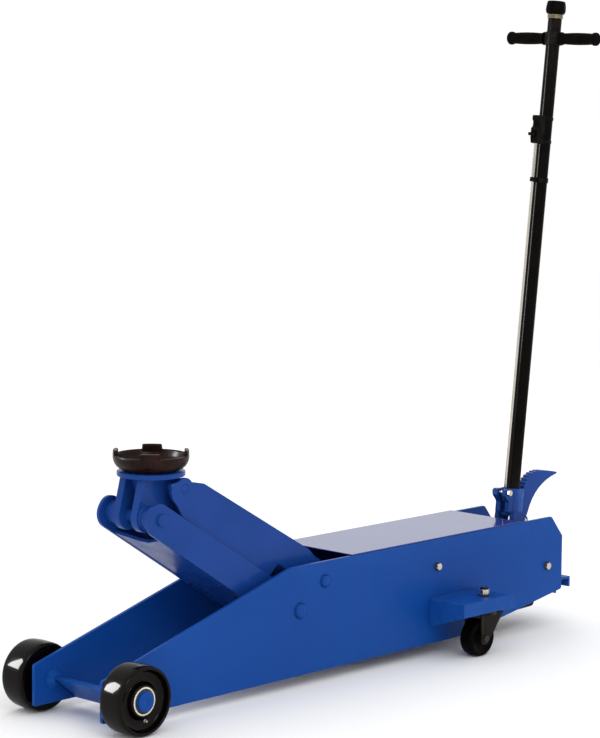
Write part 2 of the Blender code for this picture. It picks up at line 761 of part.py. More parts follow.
def power_bolt(name, spot, sign):
    """A hexagon bolt through a side plate into the power unit."""
    out = PLATE_OUT + GAP
    profile_head = [(0.0085, out + 0.0015), (0.0085, out + 0.0065), (0.0075, out + 0.0078)]
    bolt = turned(name, [(POWER_BOLT_R, 0.075), (POWER_BOLT_R, out + 0.003)], SMALL, STEEL)
    washer = turned("washer", [(0.0098, out), (0.0098, out + 0.0020)], COARSE, STEEL)
    head = turned("head", profile_head, 6, STEEL)
    for piece in (bolt, washer, head):
        tilt(piece, "y" if sign > 0 else "-y")
    weld(bolt, washer, head)
    return seat(bolt, spot[0], 0.0, spot[1])


def pump_plunger():
    """The plunger that the handle's nose pushes into the block."""
    profile = [
        (0.0075, PLUNGER_TIP),
        (0.0095, PLUNGER_TIP + 0.001),
        (0.0095, PLUNGER_TIP + 0.004),
        (PLUNGER_R, PLUNGER_TIP + 0.004),
        (PLUNGER_R, -1.240),
    ]
    profile = [(r, x - PLUNGER_TIP) for r, x in profile]
    plunger = tilt(turned("pump_plunger", profile, COARSE, CHROME), "x")
    return seat(plunger, PLUNGER_TIP, 0.0, PLUNGER_Z)


def release_valve():
    """The valve spindle under the handle pivot, worked by the rod in the handle."""
    profile = [(0.0060, -0.083), (0.0060, -0.020), (0.0075, -0.018), (0.0075, -0.011), (0.0050, -0.009)]
    spindle = turned("release_valve", profile, SMALL, STEEL)
    return seat(spindle, HANDLE_PIVOT[0], 0.0, HANDLE_PIVOT[1])


# ---------------------------------------------------------------- handle
def handle_socket():
    """The pump yoke: clamp block for the tube, legs, nose bar, front ears, rear lugs."""
    half = SOCKET_HALF
    corner = 0.007
    plan = rounded([(x, y, corner) for x, y in ((half, half), (-half, half), (-half, -half), (half, -half))])
    body = loft("handle_socket", [[(x, y, z) for x, y in plan] for z in (0.040, SOCKET_TOP)], BLUE)
    leg = hull([(0.0, 0.0, 0.019), (NOSE_X, NOSE_Z, 0.0095), (-0.016, 0.046, 0.004), (0.018, 0.046, 0.004)])
    ear = rounded(
        [
            (0.020, 0.045, 0.0),
            (0.033, 0.048, 0.004),
            (0.033, 0.072, 0.008),
            (0.048, 0.086, 0.006),
            (0.048, 0.102, 0.006),
            (0.020, 0.102, 0.0),
        ]
    )
    lug = hull([(*PEDAL_PIVOT, 0.010), (-0.014, 0.050, 0.006), (-0.014, 0.044, 0.003)])
    for s in (1, -1):
        weld(body, slab("leg", leg, s * 0.0180, s * 0.0285, BLUE))
        weld(body, slab("ear", ear, s * 0.0078, s * 0.0200, BLUE))
        weld(body, slab("lug", lug, s * 0.0110, s * 0.0180, BLUE))
    weld(body, bar("nose", NOSE_X, NOSE_Z, NOSE_R, -0.0225, 0.0225, COARSE, BLUE))
    drill_down(body, 0.0, 0.0, TUBE_R + GAP, 0.03, 0.12)
    cut(body, box("slot", 0.0245, 0.060, -0.0060, 0.0060, 0.030, 0.115, BLUE))
    drill(body, 0.0, 0.0, 0.0085, -0.05, 0.05, COARSE)
    drill(body, 0.038, 0.094, 0.0044, -0.05, 0.05, SMALL)
    drill(body, *PEDAL_PIVOT, 0.0053, -0.05, 0.05, SMALL)
    return on_handle(body)


def trunnion_bolt(side, sign):
    """The shouldered bolt that the yoke swings on, one each side."""
    profile = [(0.0080, 0.0175), (0.0080, 0.0460), (0.0130, 0.0460), (0.0130, 0.0505), (0.0105, 0.0525)]
    bolt = tilt(turned("trunnion_bolt_" + side, profile, COARSE, STEEL), "y" if sign > 0 else "-y")
    return seat(bolt, HANDLE_PIVOT[0], 0.0, HANDLE_PIVOT[1])


def clamp_bolt():
    """The bolt across the socket's two front ears."""
    bolt = bar("clamp_bolt", 0.038, 0.094, 0.0040, -0.0275, 0.0240, SMALL, STEEL)
    head = bar("head", 0.038, 0.094, 0.0080, 0.0203, 0.0262, 6, STEEL)
    nut = bar("nut", 0.038, 0.094, 0.0075, -0.0258, -0.0203, 6, STEEL)
    weld(bolt, head, nut)
    return on_handle(bolt)


def handle_tube():
    """The long black tube, open at both ends for the release rod."""
    return on_handle(tube("handle_tube", TUBE_R, TUBE_R - TUBE_T, 0.045, TUBE_TOP, MEDIUM, BLACK))


def handle_collar():
    """The brass collar on top of the tube that guides the release rod."""
    low = TUBE_TOP + GAP
    return on_handle(tube("handle_collar", 0.0185, 0.0056, low, low + 0.0100, COARSE, BRASS))


def t_bar():
    """The cross bar with the hub that clamps it to the tube."""
    hub = turned("t_bar", [(0.0190, T_BAR_S - 0.015), (0.0190, T_BAR_S + 0.015)], COARSE, BLACK)
    weld(hub, bar("bar", 0.0, T_BAR_S, 0.0095, -0.122, 0.122, COARSE, BLACK))
    drill_down(hub, 0.0, 0.0, TUBE_R + GAP, T_BAR_S - 0.03, T_BAR_S + 0.03)
    return on_handle(hub)


def grip(side, sign):
    """A rubber grip: flanged at both ends, fuller in the middle, closed outside."""
    inner = 0.0098
    profile = [
        (inner, 0.0220),
        (0.0150, 0.0222),
        (0.0155, 0.0250),
        (0.0128, 0.0300),
        (0.0142, 0.0730),
        (0.0128, 0.1160),
        (0.0155, 0.1210),
        (0.0155, 0.1266),
        (0.0120, GRIP_END),
    ]
    piece = turned("grip_" + side, profile, COARSE, RUBBER)
    bore = turned("bore", [(inner, 0.0180), (inner, 0.1226)], COARSE, RUBBER)
    for item in (piece, bore):
        tilt(item, "y" if sign > 0 else "-y")
        shift(item, z=T_BAR_S)
    cut(piece, bore)
    return on_handle(piece)


def release_knob():
    """The tapered knob twisted to let the load down."""
    low = TUBE_TOP + 0.0110
    profile = [
        (0.0195, low),
        (0.0222, low + 0.0030),
        (0.0232, low + 0.0110),
        (0.0226, low + 0.0200),
        (0.0208, KNOB_TOP - 0.0015),
        (0.0190, KNOB_TOP),
    ]
    knob = turned("release_knob", profile, MEDIUM, BLACK)
    drill_down(knob, 0.0, 0.0, 0.0053, low - 0.01, low + 0.018, SMALL)
    return on_handle(knob)


def release_rod():
    """The rod inside the tube, from the knob down to the valve."""
    return on_handle(turned("release_rod", [(0.0050, 0.012), (0.0050, TUBE_TOP + 0.026)], SMALL, STEEL))


def lock_housing():
    """The block on the front of the tube that holds the lock button and the rod's top."""
    corners = [
        (0.0110, 0.9058, 0.002),
        (0.0370, 0.9058, 0.003),
        (0.0400, 0.9180, 0.002),
        (0.0400, 0.9400, 0.002),
        (0.0345, 0.9450, 0.002),
        (0.0345, 0.9560, 0.002),
        (0.0390, 0.9620, 0.002),
        (0.0370, 0.9708, 0.002),
        (0.0110, 0.9708, 0.002),
    ]
    housing = slab("lock_housing", rounded(corners, 2), -0.0095, 0.0095, BLACK)
    cut(housing, box("pocket", 0.0338, 0.060, -0.0050, 0.0050, 0.9215, 0.9305, BLACK))
    drill_down(housing, LOCK_ROD_X, 0.0, LOCK_ROD_R + 0.0004, 0.89, 0.9662, SMALL)
    drill_down(housing, 0.0, 0.0, TUBE_R + GAP, 0.89, 0.99, MEDIUM)
    return on_handle(housing)


def lock_button():
    """The thumb button that works the lock rod."""
    outline = rounded(
        [(0.0380, 0.9222, 0.0), (0.0560, 0.9222, 0.003), (0.0560, 0.9298, 0.003), (0.0380, 0.9298, 0.0)], 3
    )
    return on_handle(slab("lock_button", outline, -0.0045, 0.0045, BLACK))


def lock_rod():
    """The bright rod that runs down the front of the tube into the socket's slot."""
    loops = [ring(LOCK_ROD_R, z, SMALL, (LOCK_ROD_X, 0.0)) for z in (0.055, 0.9560)]
    return on_handle(loft("lock_rod", loops, CHROME))


def rod_guide():
    """The band on the tube with the eye that guides the lock rod."""
    guide = turned("rod_guide", [(0.0180, 0.817), (0.0180, 0.828)], COARSE, BLACK)
    eye = hull([(LOCK_ROD_X, 0.0, 0.0060), (0.010, 0.0, 0.0060)])
    weld(guide, loft("eye", [[(x, y, z) for x, y in eye] for z in (0.8175, 0.8275)], BLACK))
    drill_down(guide, 0.0, 0.0, TUBE_R + GAP, 0.80, 0.85, MEDIUM)
    drill_down(guide, LOCK_ROD_X, 0.0, LOCK_ROD_R + 0.0004, 0.80, 0.85, SMALL)
    return on_handle(guide)


def foot_pedal():
    """The curved pedal behind the socket, its upper edge toothed against slipping."""
    px, pz = PEDAL_PIVOT
    foot = arc(px, pz, 0.0095, 200.0, 345.0, 6)
    front = [(-0.0240, 0.0560), (-0.0260, 0.0960)]
    teeth = []
    for i in range(TOOTH_COUNT):
        for step, lift in ((0.0, 0.0), (0.30, TOOTH_DEPTH), (0.62, TOOTH_DEPTH)):
            swing = math.radians(4.0 + 96.0 * (i + step) / TOOTH_COUNT)
            across = HORN_WIDE + lift
            above = HORN_HIGH + lift
            teeth.append((HORN_X + across * math.cos(swing), HORN_Z + above * math.sin(swing)))
    tip = [(-0.1380, 0.1440), (-0.1485, 0.1425), (-0.1475, 0.1390)]
    back = []
    for i in range(1, 9):
        t = 1.0 - i / 8.0
        weights = ((1.0 - t) ** 2, 2.0 * t * (1.0 - t), t * t)
        curve = zip(weights, ((-0.0516, 0.0466), (-0.0690, 0.1150), (-0.1475, 0.1390)))
        spots = [(w * p[0], w * p[1]) for w, p in curve]
        back.append((sum(p[0] for p in spots), sum(p[1] for p in spots)))
    outline = foot + front + teeth + tip + back
    pedal = shift(slab("foot_pedal", outline, -0.0095, 0.0095, BLUE), x=-px, z=-pz)
    drill(pedal, 0.0, 0.0, 0.0053, -0.05, 0.05, SMALL)
    return on_handle(pedal, px, pz)


def pedal_pin():
    """The pin that the foot pedal swings on."""
    half = 0.0200
    profile = [(0.0038, -half), (0.0050, -half + 0.0012)]
    profile += [(r, -y) for r, y in reversed(profile)]
    return on_handle(tilt(turned("pedal_pin", profile, SMALL, STEEL), "y"), *PEDAL_PIVOT)


# ---------------------------------------------------------------- assembly
def build_chassis():
    for side, sign in SIDES:
        side_plate(side, sign)
        stub_axle(side, sign)
        front_wheel(side, sign)
        wheel_bearing(side, sign)
        caster_bracket(side, sign)
        caster_kingbolt(side, sign)
        caster_fork(side, sign)
        caster_axle_bolt(side, sign)
        caster_wheel(side, sign)
    front_cross_member()
    rear_cross_plate()
    top_cover()
    pivot_shaft("lower_pivot_shaft", LOWER_PIVOT, LOWER_SHAFT_R)
    pivot_shaft("upper_pivot_shaft", UPPER_PIVOT, UPPER_SHAFT_R)


def build_linkage():
    lift_arm()
    link_arm()
    cross_pin("lower_head_pin", HEAD_PIVOT, HEAD_PIN_R, ARM_OUT + 0.006, BLUE)
    link_end = (HEAD_PIVOT[0] + PIVOT_OFFSET[0], HEAD_PIVOT[1] + PIVOT_OFFSET[1])
    cross_pin("upper_head_pin", link_end, LINK_PIN_R, LINK_OUT + 0.0005, BLUE)
    saddle_head()
    saddle()


def build_power_unit():
    ram()
    cross_pin("ram_cross_pin", (RAM_PIN_X, RAM_Z), RAM_PIN_R, 0.036, STEEL)
    cylinder()
    gland_nut()
    oil_tank()
    tank_support()
    pump_block()
    for side, sign in SIDES:
        power_bolt("front_power_bolt_" + side, FRONT_BOLT, sign)
        power_bolt("rear_power_bolt_" + side, REAR_BOLT, sign)
        trunnion_bolt(side, sign)
    pump_plunger()
    release_valve()


def build_handle():
    handle_socket()
    clamp_bolt()
    handle_tube()
    handle_collar()
    t_bar()
    for side, sign in SIDES:
        grip(side, sign)
    release_knob()
    release_rod()
    lock_housing()
    lock_button()
    lock_rod()
    rod_guide()
    foot_pedal()
    pedal_pin()


clear_scene()
BLUE = make_material("blue_paint", (0.012, 0.063, 0.300), 0.25)
BLACK = make_material("black_paint", (0.010, 0.009, 0.008), 0.25)
RUBBER = make_material("rubber", (0.015, 0.013, 0.012), 0.65)
CAST = make_material("dark_cast_iron", (0.045, 0.025, 0.018), 0.55, 0.3)
STEEL = make_material("plated_steel", (0.56, 0.50, 0.42), 0.30, 1.0)
CHROME = make_material("bright_steel", (0.75, 0.74, 0.72), 0.15, 1.0)
DARK = make_material("black_steel", (0.05, 0.045, 0.04), 0.40, 0.8)
FORK = make_material("caster_fork_paint", (0.032, 0.027, 0.022), 0.45)
CREAM = make_material("bearing_seal", (0.80, 0.74, 0.60), 0.45)
BRASS = make_material("brass", (0.62, 0.42, 0.12), 0.30, 1.0)
build_chassis()
build_linkage()
build_power_unit()
build_handle()
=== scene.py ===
"""Looks for the long-chassis trolley jack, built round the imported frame."""
import json
import math

import bmesh
import bpy
from mathutils import Matrix, Vector, noise

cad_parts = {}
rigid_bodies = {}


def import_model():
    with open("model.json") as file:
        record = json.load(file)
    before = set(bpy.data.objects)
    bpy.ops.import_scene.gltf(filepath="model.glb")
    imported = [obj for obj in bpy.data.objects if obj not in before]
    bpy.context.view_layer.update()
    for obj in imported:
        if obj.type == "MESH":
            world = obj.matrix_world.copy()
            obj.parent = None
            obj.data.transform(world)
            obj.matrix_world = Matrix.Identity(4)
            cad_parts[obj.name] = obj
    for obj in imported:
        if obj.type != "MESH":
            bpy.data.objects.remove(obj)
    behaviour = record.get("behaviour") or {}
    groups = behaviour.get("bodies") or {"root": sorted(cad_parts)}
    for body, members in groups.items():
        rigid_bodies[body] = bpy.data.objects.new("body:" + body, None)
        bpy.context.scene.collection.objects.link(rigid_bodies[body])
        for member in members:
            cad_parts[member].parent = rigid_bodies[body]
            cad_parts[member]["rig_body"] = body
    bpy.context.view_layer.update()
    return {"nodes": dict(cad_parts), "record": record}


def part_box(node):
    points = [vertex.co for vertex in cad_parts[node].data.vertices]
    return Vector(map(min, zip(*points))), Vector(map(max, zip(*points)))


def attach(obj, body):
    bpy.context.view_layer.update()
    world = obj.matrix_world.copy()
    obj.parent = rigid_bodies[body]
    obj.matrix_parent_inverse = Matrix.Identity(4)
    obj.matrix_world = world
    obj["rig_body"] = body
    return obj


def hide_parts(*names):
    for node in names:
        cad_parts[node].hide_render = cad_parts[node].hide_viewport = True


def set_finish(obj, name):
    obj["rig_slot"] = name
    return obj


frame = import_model()

RECORD = frame["record"]
NODES = frame["nodes"]
BODY_OF = {n: b for b, group in RECORD["behaviour"]["bodies"].items() for n in group}
SLOT_OF = {s["node"]: s["material_slot"] for s in RECORD["subparts"]}
JOINT = {j["name"]: j for j in RECORD["behaviour"]["joints"]}
SIDES = (("left", 1), ("right", -1))
Z = Vector((0, 0, 1))

MERGE = 0.00001
ON_AXIS = 1e-6
BEVEL_ANGLE = math.radians(32.0)
FLAT_ANGLE = math.radians(0.6)
HEXAGON_STEPS = 48
HEXAGON_CHAMFER = 0.0012
BEAD_PITCH = 0.0042
BEAD_SIDES = 10
WIRE_SIDES = 6

STUB_R = 0.0208
LOWER_PIN_R = 0.0125
UPPER_PIN_R = 0.0100
SADDLE_BORE_R = 0.0136
TUBE_R = 0.0160
TUBE_FIT_R = 0.0163
TUBE_TOP = 1.1965
T_BAR_Z = 1.151
KNOB_LOW = 1.2075
KNOB_HIGH = 1.2375
LOCK_ROD_X = 0.030
SPRING_LOW = 0.8285
SPRING_HIGH = 0.9052


# ---------------------------------------------------------------- materials
class Graph:
    """A short way to write a material's nodes."""

    def __init__(self, name):
        self.material = bpy.data.materials.new(name)
        self.material.use_nodes = True
        self.tree = self.material.node_tree
        self.shader = self.tree.nodes["Principled BSDF"]
        self.coords = self.tree.nodes.new("ShaderNodeTexCoord").outputs["Object"]

    def feed(self, socket, value):
        """Link a socket to another one, or set its value."""
        if isinstance(value, bpy.types.NodeSocket):
            self.tree.links.new(value, socket)
        else:
            socket.default_value = value

    def node(self, kind, **inputs):
        made = self.tree.nodes.new("ShaderNode" + kind)
        for key, value in inputs.items():
            self.feed(made.inputs[key], value)
        return made

    def noise(self, scale, detail=3.0, rough=0.55, stretch=None):
        source = self.coords
        if stretch:
            mapped = self.node("Mapping", Vector=source)
            mapped.inputs["Scale"].default_value = stretch
            source = mapped.outputs["Vector"]
        made = self.node("TexNoise", Vector=source, Scale=scale, Detail=detail, Roughness=rough)
        return made.outputs["Fac"]

    def remap(self, value, low, high, to_low, to_high):
        """Carry a value from one range to another, clamped."""
        made = self.node("MapRange", Value=value)
        made.inputs["From Min"].default_value = low
        made.inputs["From Max"].default_value = high
        made.inputs["To Min"].default_value = to_low
        made.inputs["To Max"].default_value = to_high
        return made.outputs["Result"]

    def mix(self, factor, first, second):
        """Mix two colours; inputs 6 and 7 and output 2 are the node's colour sockets."""
        made = self.tree.nodes.new("ShaderNodeMix")
        made.data_type = "RGBA"
        for index, value in ((0, factor), (6, first), (7, second)):
            self.feed(made.inputs[index], value)
        return made.outputs[2]

    def set(self, name, value):
        self.feed(self.shader.inputs[name], value)

    def bump(self, height, strength, distance, below=None):
        """A bump over the one below it, if there is one."""
        made = self.node("Bump", Height=height, Strength=strength, Distance=distance)
        if below is not None:
            self.tree.links.new(below, made.inputs["Normal"])
        return made.outputs["Normal"]

    def edges(self, low, high):
        """How far a spot stands on a convex edge, from 0 to 1."""
        pointy = self.tree.nodes.new("ShaderNodeNewGeometry").outputs["Pointiness"]
        return self.remap(pointy, low, high, 0.0, 1.0)


def rgb(colour):
    """A colour with its alpha."""
    return (*colour, 1.0)


def finish_material(
    name, base, shade, rough, metallic=0.0, coat=0.0, coat_rough=0.05, specular=0.5,
    mottle=9.0, grain=420.0, grain_depth=0.00010, grain_strength=0.25,
    wave=0.0, wave_scale=26.0, edge=None, edge_at=(0.53, 0.62), stretch=None, pits=0.0,
):
    """Paint, rubber or metal: mottled colour, uneven gloss, fine grain, slow waves, and convex edges
    mixed toward a lighter edge colour, which on the blue paints is a painted highlight.
    """
    g = Graph(name)
    colour = g.mix(g.remap(g.noise(mottle, 4.0), 0.35, 0.68, 0.0, 1.0), rgb(base), rgb(shade))
    # Convex edges are mixed toward the lighter edge colour; on the blue paints this is a painted
    # highlight along the edges.
    if edge:
        edge_wear_and_highlight = g.node("Math", Value=g.edges(*edge_at))
        edge_wear_and_highlight.operation = "MULTIPLY"
        g.tree.links.new(g.remap(g.noise(70.0, 4.0), 0.35, 0.6, 0.25, 1.0), edge_wear_and_highlight.inputs[1])
        colour = g.mix(edge_wear_and_highlight.outputs[0], colour, rgb(edge))
    g.set("Base Color", colour)
    g.set("Roughness", g.remap(g.noise(mottle * 3.1, 5.0, stretch=stretch), 0.3, 0.7, *rough))
    g.set("Metallic", metallic)
    g.set("Coat Weight", coat)
    g.set("Coat Roughness", coat_rough)
    g.set("Specular IOR Level", specular)
    normal = g.bump(g.noise(grain, 2.0, stretch=stretch), grain_strength, grain_depth)
    if wave:
        normal = g.bump(g.noise(wave_scale, 1.0), 0.5, wave, normal)
    if pits:
        cells = g.node("TexVoronoi", Vector=g.coords, Scale=260.0).outputs["Distance"]
        normal = g.bump(g.remap(cells, 0.0, 0.35, 0.0, 1.0), 0.6, pits, normal)
    g.set("Normal", normal)
    return g.material


# The chassis paint's lighter edge colour is a painted highlight along the plates' edges.
PAINT = finish_material(
    "blue_chassis_paint", (0.0034, 0.0530, 0.2700), (0.0046, 0.0600, 0.2980), (0.34, 0.48),
    coat=0.03, coat_rough=0.15, specular=0.08, mottle=3.2, grain=380.0, wave=0.00020,
    edge=(0.030, 0.150, 0.500), edge_at=(0.54, 0.68),
)
# The arm paint's lighter edge colour is a painted highlight along the arms' and head's edges.
ARM_PAINT = finish_material(
    "blue_arm_paint", (0.0090, 0.0500, 0.2600), (0.0056, 0.0420, 0.2150), (0.22, 0.36),
    coat=0.10, coat_rough=0.07, specular=0.07, mottle=6.0, grain=300.0, wave=0.00050,
    wave_scale=34.0, edge=(0.050, 0.180, 0.580), edge_at=(0.54, 0.68),
)
COVER_PAINT = finish_material(
    "blue_cover_paint", (0.0110, 0.0300, 0.2050), (0.0125, 0.0330, 0.2200), (0.19, 0.23),
    coat=0.64, coat_rough=0.045, specular=0.10, mottle=2.4, grain=260.0,
    grain_strength=0.05, wave=0.00012, wave_scale=6.0,
)
WELD_PAINT = finish_material(
    "blue_weld_paint", (0.0040, 0.0450, 0.2300), (0.0030, 0.0330, 0.1700), (0.26, 0.40),
    coat=0.08, coat_rough=0.12, specular=0.10, mottle=60.0, grain=700.0, grain_strength=0.4,
)
WHEEL_BLACK = finish_material(
    "black_wheel_enamel", (0.0012, 0.0006, 0.0003), (0.0030, 0.0016, 0.0010), (0.14, 0.24),
    coat=0.20, coat_rough=0.030, specular=0.02, mottle=14.0, grain=240.0, wave=0.00014,
    wave_scale=40.0, edge=(0.040, 0.026, 0.016), edge_at=(0.57, 0.74),
)
CASTER_BLACK = finish_material(
    "black_caster_tyre", (0.0008, 0.0006, 0.0006), (0.0022, 0.0018, 0.0018), (0.38, 0.55),
    specular=0.03, mottle=30.0, grain=520.0, grain_strength=0.4,
)
TUBE_BLACK = finish_material(
    "black_tube_enamel", (0.0012, 0.0010, 0.0006), (0.0026, 0.0020, 0.0012), (0.22, 0.34),
    coat=0.05, coat_rough=0.08, specular=0.02, mottle=18.0, grain=420.0, wave=0.00010,
    edge=(0.03, 0.024, 0.02),
)
PLASTIC = finish_material(
    "black_moulded_plastic", (0.0012, 0.0010, 0.0008), (0.0026, 0.0022, 0.0018), (0.34, 0.50),
    specular=0.03, mottle=40.0, grain=900.0, grain_strength=0.35, edge=(0.02, 0.018, 0.015),
)
RUBBER = finish_material(
    "black_grip_rubber", (0.0022, 0.0012, 0.0010), (0.0046, 0.0030, 0.0025), (0.55, 0.75),
    specular=0.03, mottle=50.0, grain=1100.0, grain_depth=0.00018, grain_strength=0.5,
)
CAST = finish_material(
    "dark_cast_iron", (0.0052, 0.0015, 0.0008), (0.0200, 0.0066, 0.0034), (0.26, 0.46),
    coat=0.09, coat_rough=0.14, specular=0.06, mottle=34.0, grain=330.0,
    grain_depth=0.00060, grain_strength=0.75, edge=(0.150, 0.090, 0.060),
    edge_at=(0.55, 0.68), pits=0.0004,
)
ZINC = finish_material(
    "zinc_plated_steel", (0.60, 0.54, 0.44), (0.46, 0.42, 0.36), (0.22, 0.42),
    metallic=1.0, mottle=90.0, grain=900.0, grain_strength=0.3, edge=(0.78, 0.74, 0.66),
)
STEEL = finish_material(
    "machined_steel", (0.34, 0.31, 0.27), (0.22, 0.20, 0.17), (0.24, 0.40),
    metallic=1.0, mottle=28.0, grain=700.0, stretch=(1.0, 1.0, 14.0), grain_strength=0.3,
)
CHROME = finish_material(
    "bright_drawn_steel", (0.62, 0.56, 0.46), (0.48, 0.43, 0.34), (0.12, 0.24),
    metallic=1.0, mottle=20.0, grain=600.0, grain_strength=0.08, stretch=(8.0, 8.0, 1.0),
)
DARK_STEEL = finish_material(
    "blackened_steel", (0.005, 0.004, 0.003), (0.014, 0.011, 0.009), (0.30, 0.45),
    specular=0.15, mottle=60.0, grain=800.0, edge=(0.10, 0.085, 0.07),
)
FORK_PAINT = finish_material(
    "caster_fork_enamel", (0.0030, 0.0022, 0.0015), (0.0075, 0.0056, 0.0036), (0.28, 0.42),
    coat=0.10, coat_rough=0.12, specular=0.05, mottle=30.0, grain=420.0, wave=0.0003,
    edge=(0.07, 0.055, 0.04),
)
CREAM = finish_material(
    "cream_bearing_seal", (0.78, 0.72, 0.60), (0.64, 0.57, 0.45), (0.32, 0.46),
    specular=0.4, mottle=45.0, grain=700.0,
)
BRASS = finish_material(
    "turned_brass", (0.40, 0.34, 0.23), (0.20, 0.165, 0.10), (0.18, 0.34),
    metallic=1.0, mottle=50.0, grain=900.0, stretch=(1.0, 1.0, 10.0),
)
NYLON = finish_material(
    "nylon_insert", (
        0.002, 0.002, 0.003,
    ), (0.005, 0.005, 0.006), (0.35, 0.5), specular=0.1, mottle=80.0,
)
TANK_PAINT = finish_material(
    "blue_tank_paint", (0.0030, 0.0400, 0.2100), (0.0040, 0.0470, 0.2400), (0.28, 0.42),
    coat=0.08, coat_rough=0.10, specular=0.15, mottle=9.0, grain=420.0, wave=0.0003,
)
SPARE_SLOTS = {
    PAINT: "blue_paint", ARM_PAINT: "blue_paint", ZINC: "plated_steel", DARK_STEEL: "black_steel",
}
FINISH = {
    "blue_paint": PAINT, "black_wheel": WHEEL_BLACK, "black_paint": TUBE_BLACK,
    "rubber": RUBBER, "dark_cast_iron": CAST, "plated_steel": STEEL, "bright_steel": CHROME,
    "black_steel": DARK_STEEL, "caster_fork_paint": FORK_PAINT, "bearing_seal": CREAM,
    "brass": BRASS,
}


# ---------------------------------------------------------------- building
def put(name, bm, material, body, smooth=34.0, bevel=0.0, segments=2):
    """Turn a bmesh into a piece riding on a body, its sharp edges eased by a bevel."""
    bmesh.ops.recalc_face_normals(bm, faces=bm.faces)
    mesh = bpy.data.meshes.new(name)
    bm.to_mesh(mesh)
    bm.free()
    mesh.shade_smooth()
    mesh.set_sharp_from_angle(angle=math.radians(smooth))
    mesh.materials.append(material)
    obj = bpy.data.objects.new(name, mesh)
    bpy.context.scene.collection.objects.link(obj)
    if bevel:
        ease = obj.modifiers.new("ease", "BEVEL")
        ease.width = bevel
        ease.segments = segments
        ease.limit_method = "ANGLE"
        ease.angle_limit = BEVEL_ANGLE
        ease.harden_normals = True
    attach(obj, body)
    return obj


def dress(node, material=None, bevel=0.0010, segments=2):
    """A CAD node's own shape with its doubled corners joined and its edges eased."""
    source = NODES[node]
    bm = bmesh.new()
    bm.from_mesh(source.data)
    bmesh.ops.remove_doubles(bm, verts=bm.verts, dist=MERGE)
    bmesh.ops.dissolve_limit(
        bm, angle_limit=FLAT_ANGLE, verts=bm.verts, edges=bm.edges, delimit={"NORMAL"}
    )
    finish = material or FINISH[SLOT_OF[node]]
    obj = put(node + "_finish", bm, finish, BODY_OF[node], bevel=bevel, segments=segments)
    stands_for(obj, node)


def stands_for(obj, node):
    """This piece replaces a node and takes its slot."""
    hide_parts(node)
    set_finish(obj, SLOT_OF[node])


def basis(direction):
    """The rotation that takes Z to a direction."""
    return Z.rotation_difference(Vector(direction).normalized()).to_matrix().to_4x4()


def spin_mesh(bm, profile, centre, direction, segments):
    """Add a surface of revolution through (radius, along) points; closed at the axis."""
    move = Matrix.Translation(centre) @ basis(direction)
    rows = []
    for radius, along in profile:
        if radius < ON_AXIS:
            rows.append([bm.verts.new(move @ Vector((0, 0, along)))])
            continue
        row = []
        for i in range(segments):
            angle = 2 * math.pi * i / segments
            spot = Vector((radius * math.cos(angle), radius * math.sin(angle), along))
            row.append(bm.verts.new(move @ spot))
        rows.append(row)
    pairs = list(zip(rows, rows[1:]))
    if len(rows[0]) > 1 and len(rows[-1]) > 1:
        pairs.append((rows[-1], rows[0]))
    for a, b in pairs:
        for i in range(segments):
            j = (i + 1) % segments
            if len(a) == 1:
                bm.faces.new((a[0], b[j], b[i]))
            elif len(b) == 1:
                bm.faces.new((a[i], a[j], b[0]))
            else:
                bm.faces.new((a[i], a[j], b[j], b[i]))


def lathe(name, profile, centre, direction, material, body, segments=96, smooth=34.0):
    """A turned piece."""
    bm = bmesh.new()
    spin_mesh(bm, profile, Vector(centre), direction, segments)
    return put(name, bm, material, body, smooth=smooth)


def skin(bm, rows, closed=False):
    """Faces between rows of vertices, then over both ends; closed rows run on in a ring."""
    pairs = list(zip(rows, rows[1:]))
    if closed:
        pairs.append((rows[-1], rows[0]))
    for a, b in pairs:
        for i in range(len(a)):
            j = (i + 1) % len(a)
            bm.faces.new((a[i], a[j], b[j], b[i]))
    if not closed:
        bm.faces.new(rows[0])
        bm.faces.new(rows[-1])


def prism_mesh(bm, loops, move):
    """A closed solid through loops of points, moved into place."""
    skin(bm, [[bm.verts.new(move @ Vector(p)) for p in loop] for loop in loops])


def slab(name, outline, y0, y1, material, body, bevel, move):
    """An outline in x and z, carried along y and moved into place."""
    bm = bmesh.new()
    prism_mesh(bm, [[(x, y, z) for x, z in outline] for y in (y0, y1)], move)
    return put(name, bm, material, body, bevel=bevel)


def arc(x, z, radius, start, end, steps):
    """Points round part of a circle, from one angle in degrees to another."""
    points = []
    for i in range(steps + 1):
        a = math.radians(start + (end - start) * i / steps)
        points.append((x + radius * math.cos(a), z + radius * math.sin(a)))
    return points


def hull(circles, steps=72):
    """The taut outline round circles (x, z, radius)."""
    cloud = []
    for x, z, radius in circles:
        cloud += [(round(p[0], 6), round(p[1], 6)) for p in arc(x, z, radius, 0.0, 360.0, steps)]
    cloud = sorted(set(cloud))

    def chain(points):
        kept = []
        for p in points:
            while len(kept) > 1:
                (ax, az), (bx, bz) = kept[-2], kept[-1]
                if (bx - ax) * (p[1] - az) - (bz - az) * (p[0] - ax) > 1e-10:
                    break
                kept.pop()
            kept.append(p)
        return kept[:-1]

    return chain(cloud) + chain(list(reversed(cloud)))


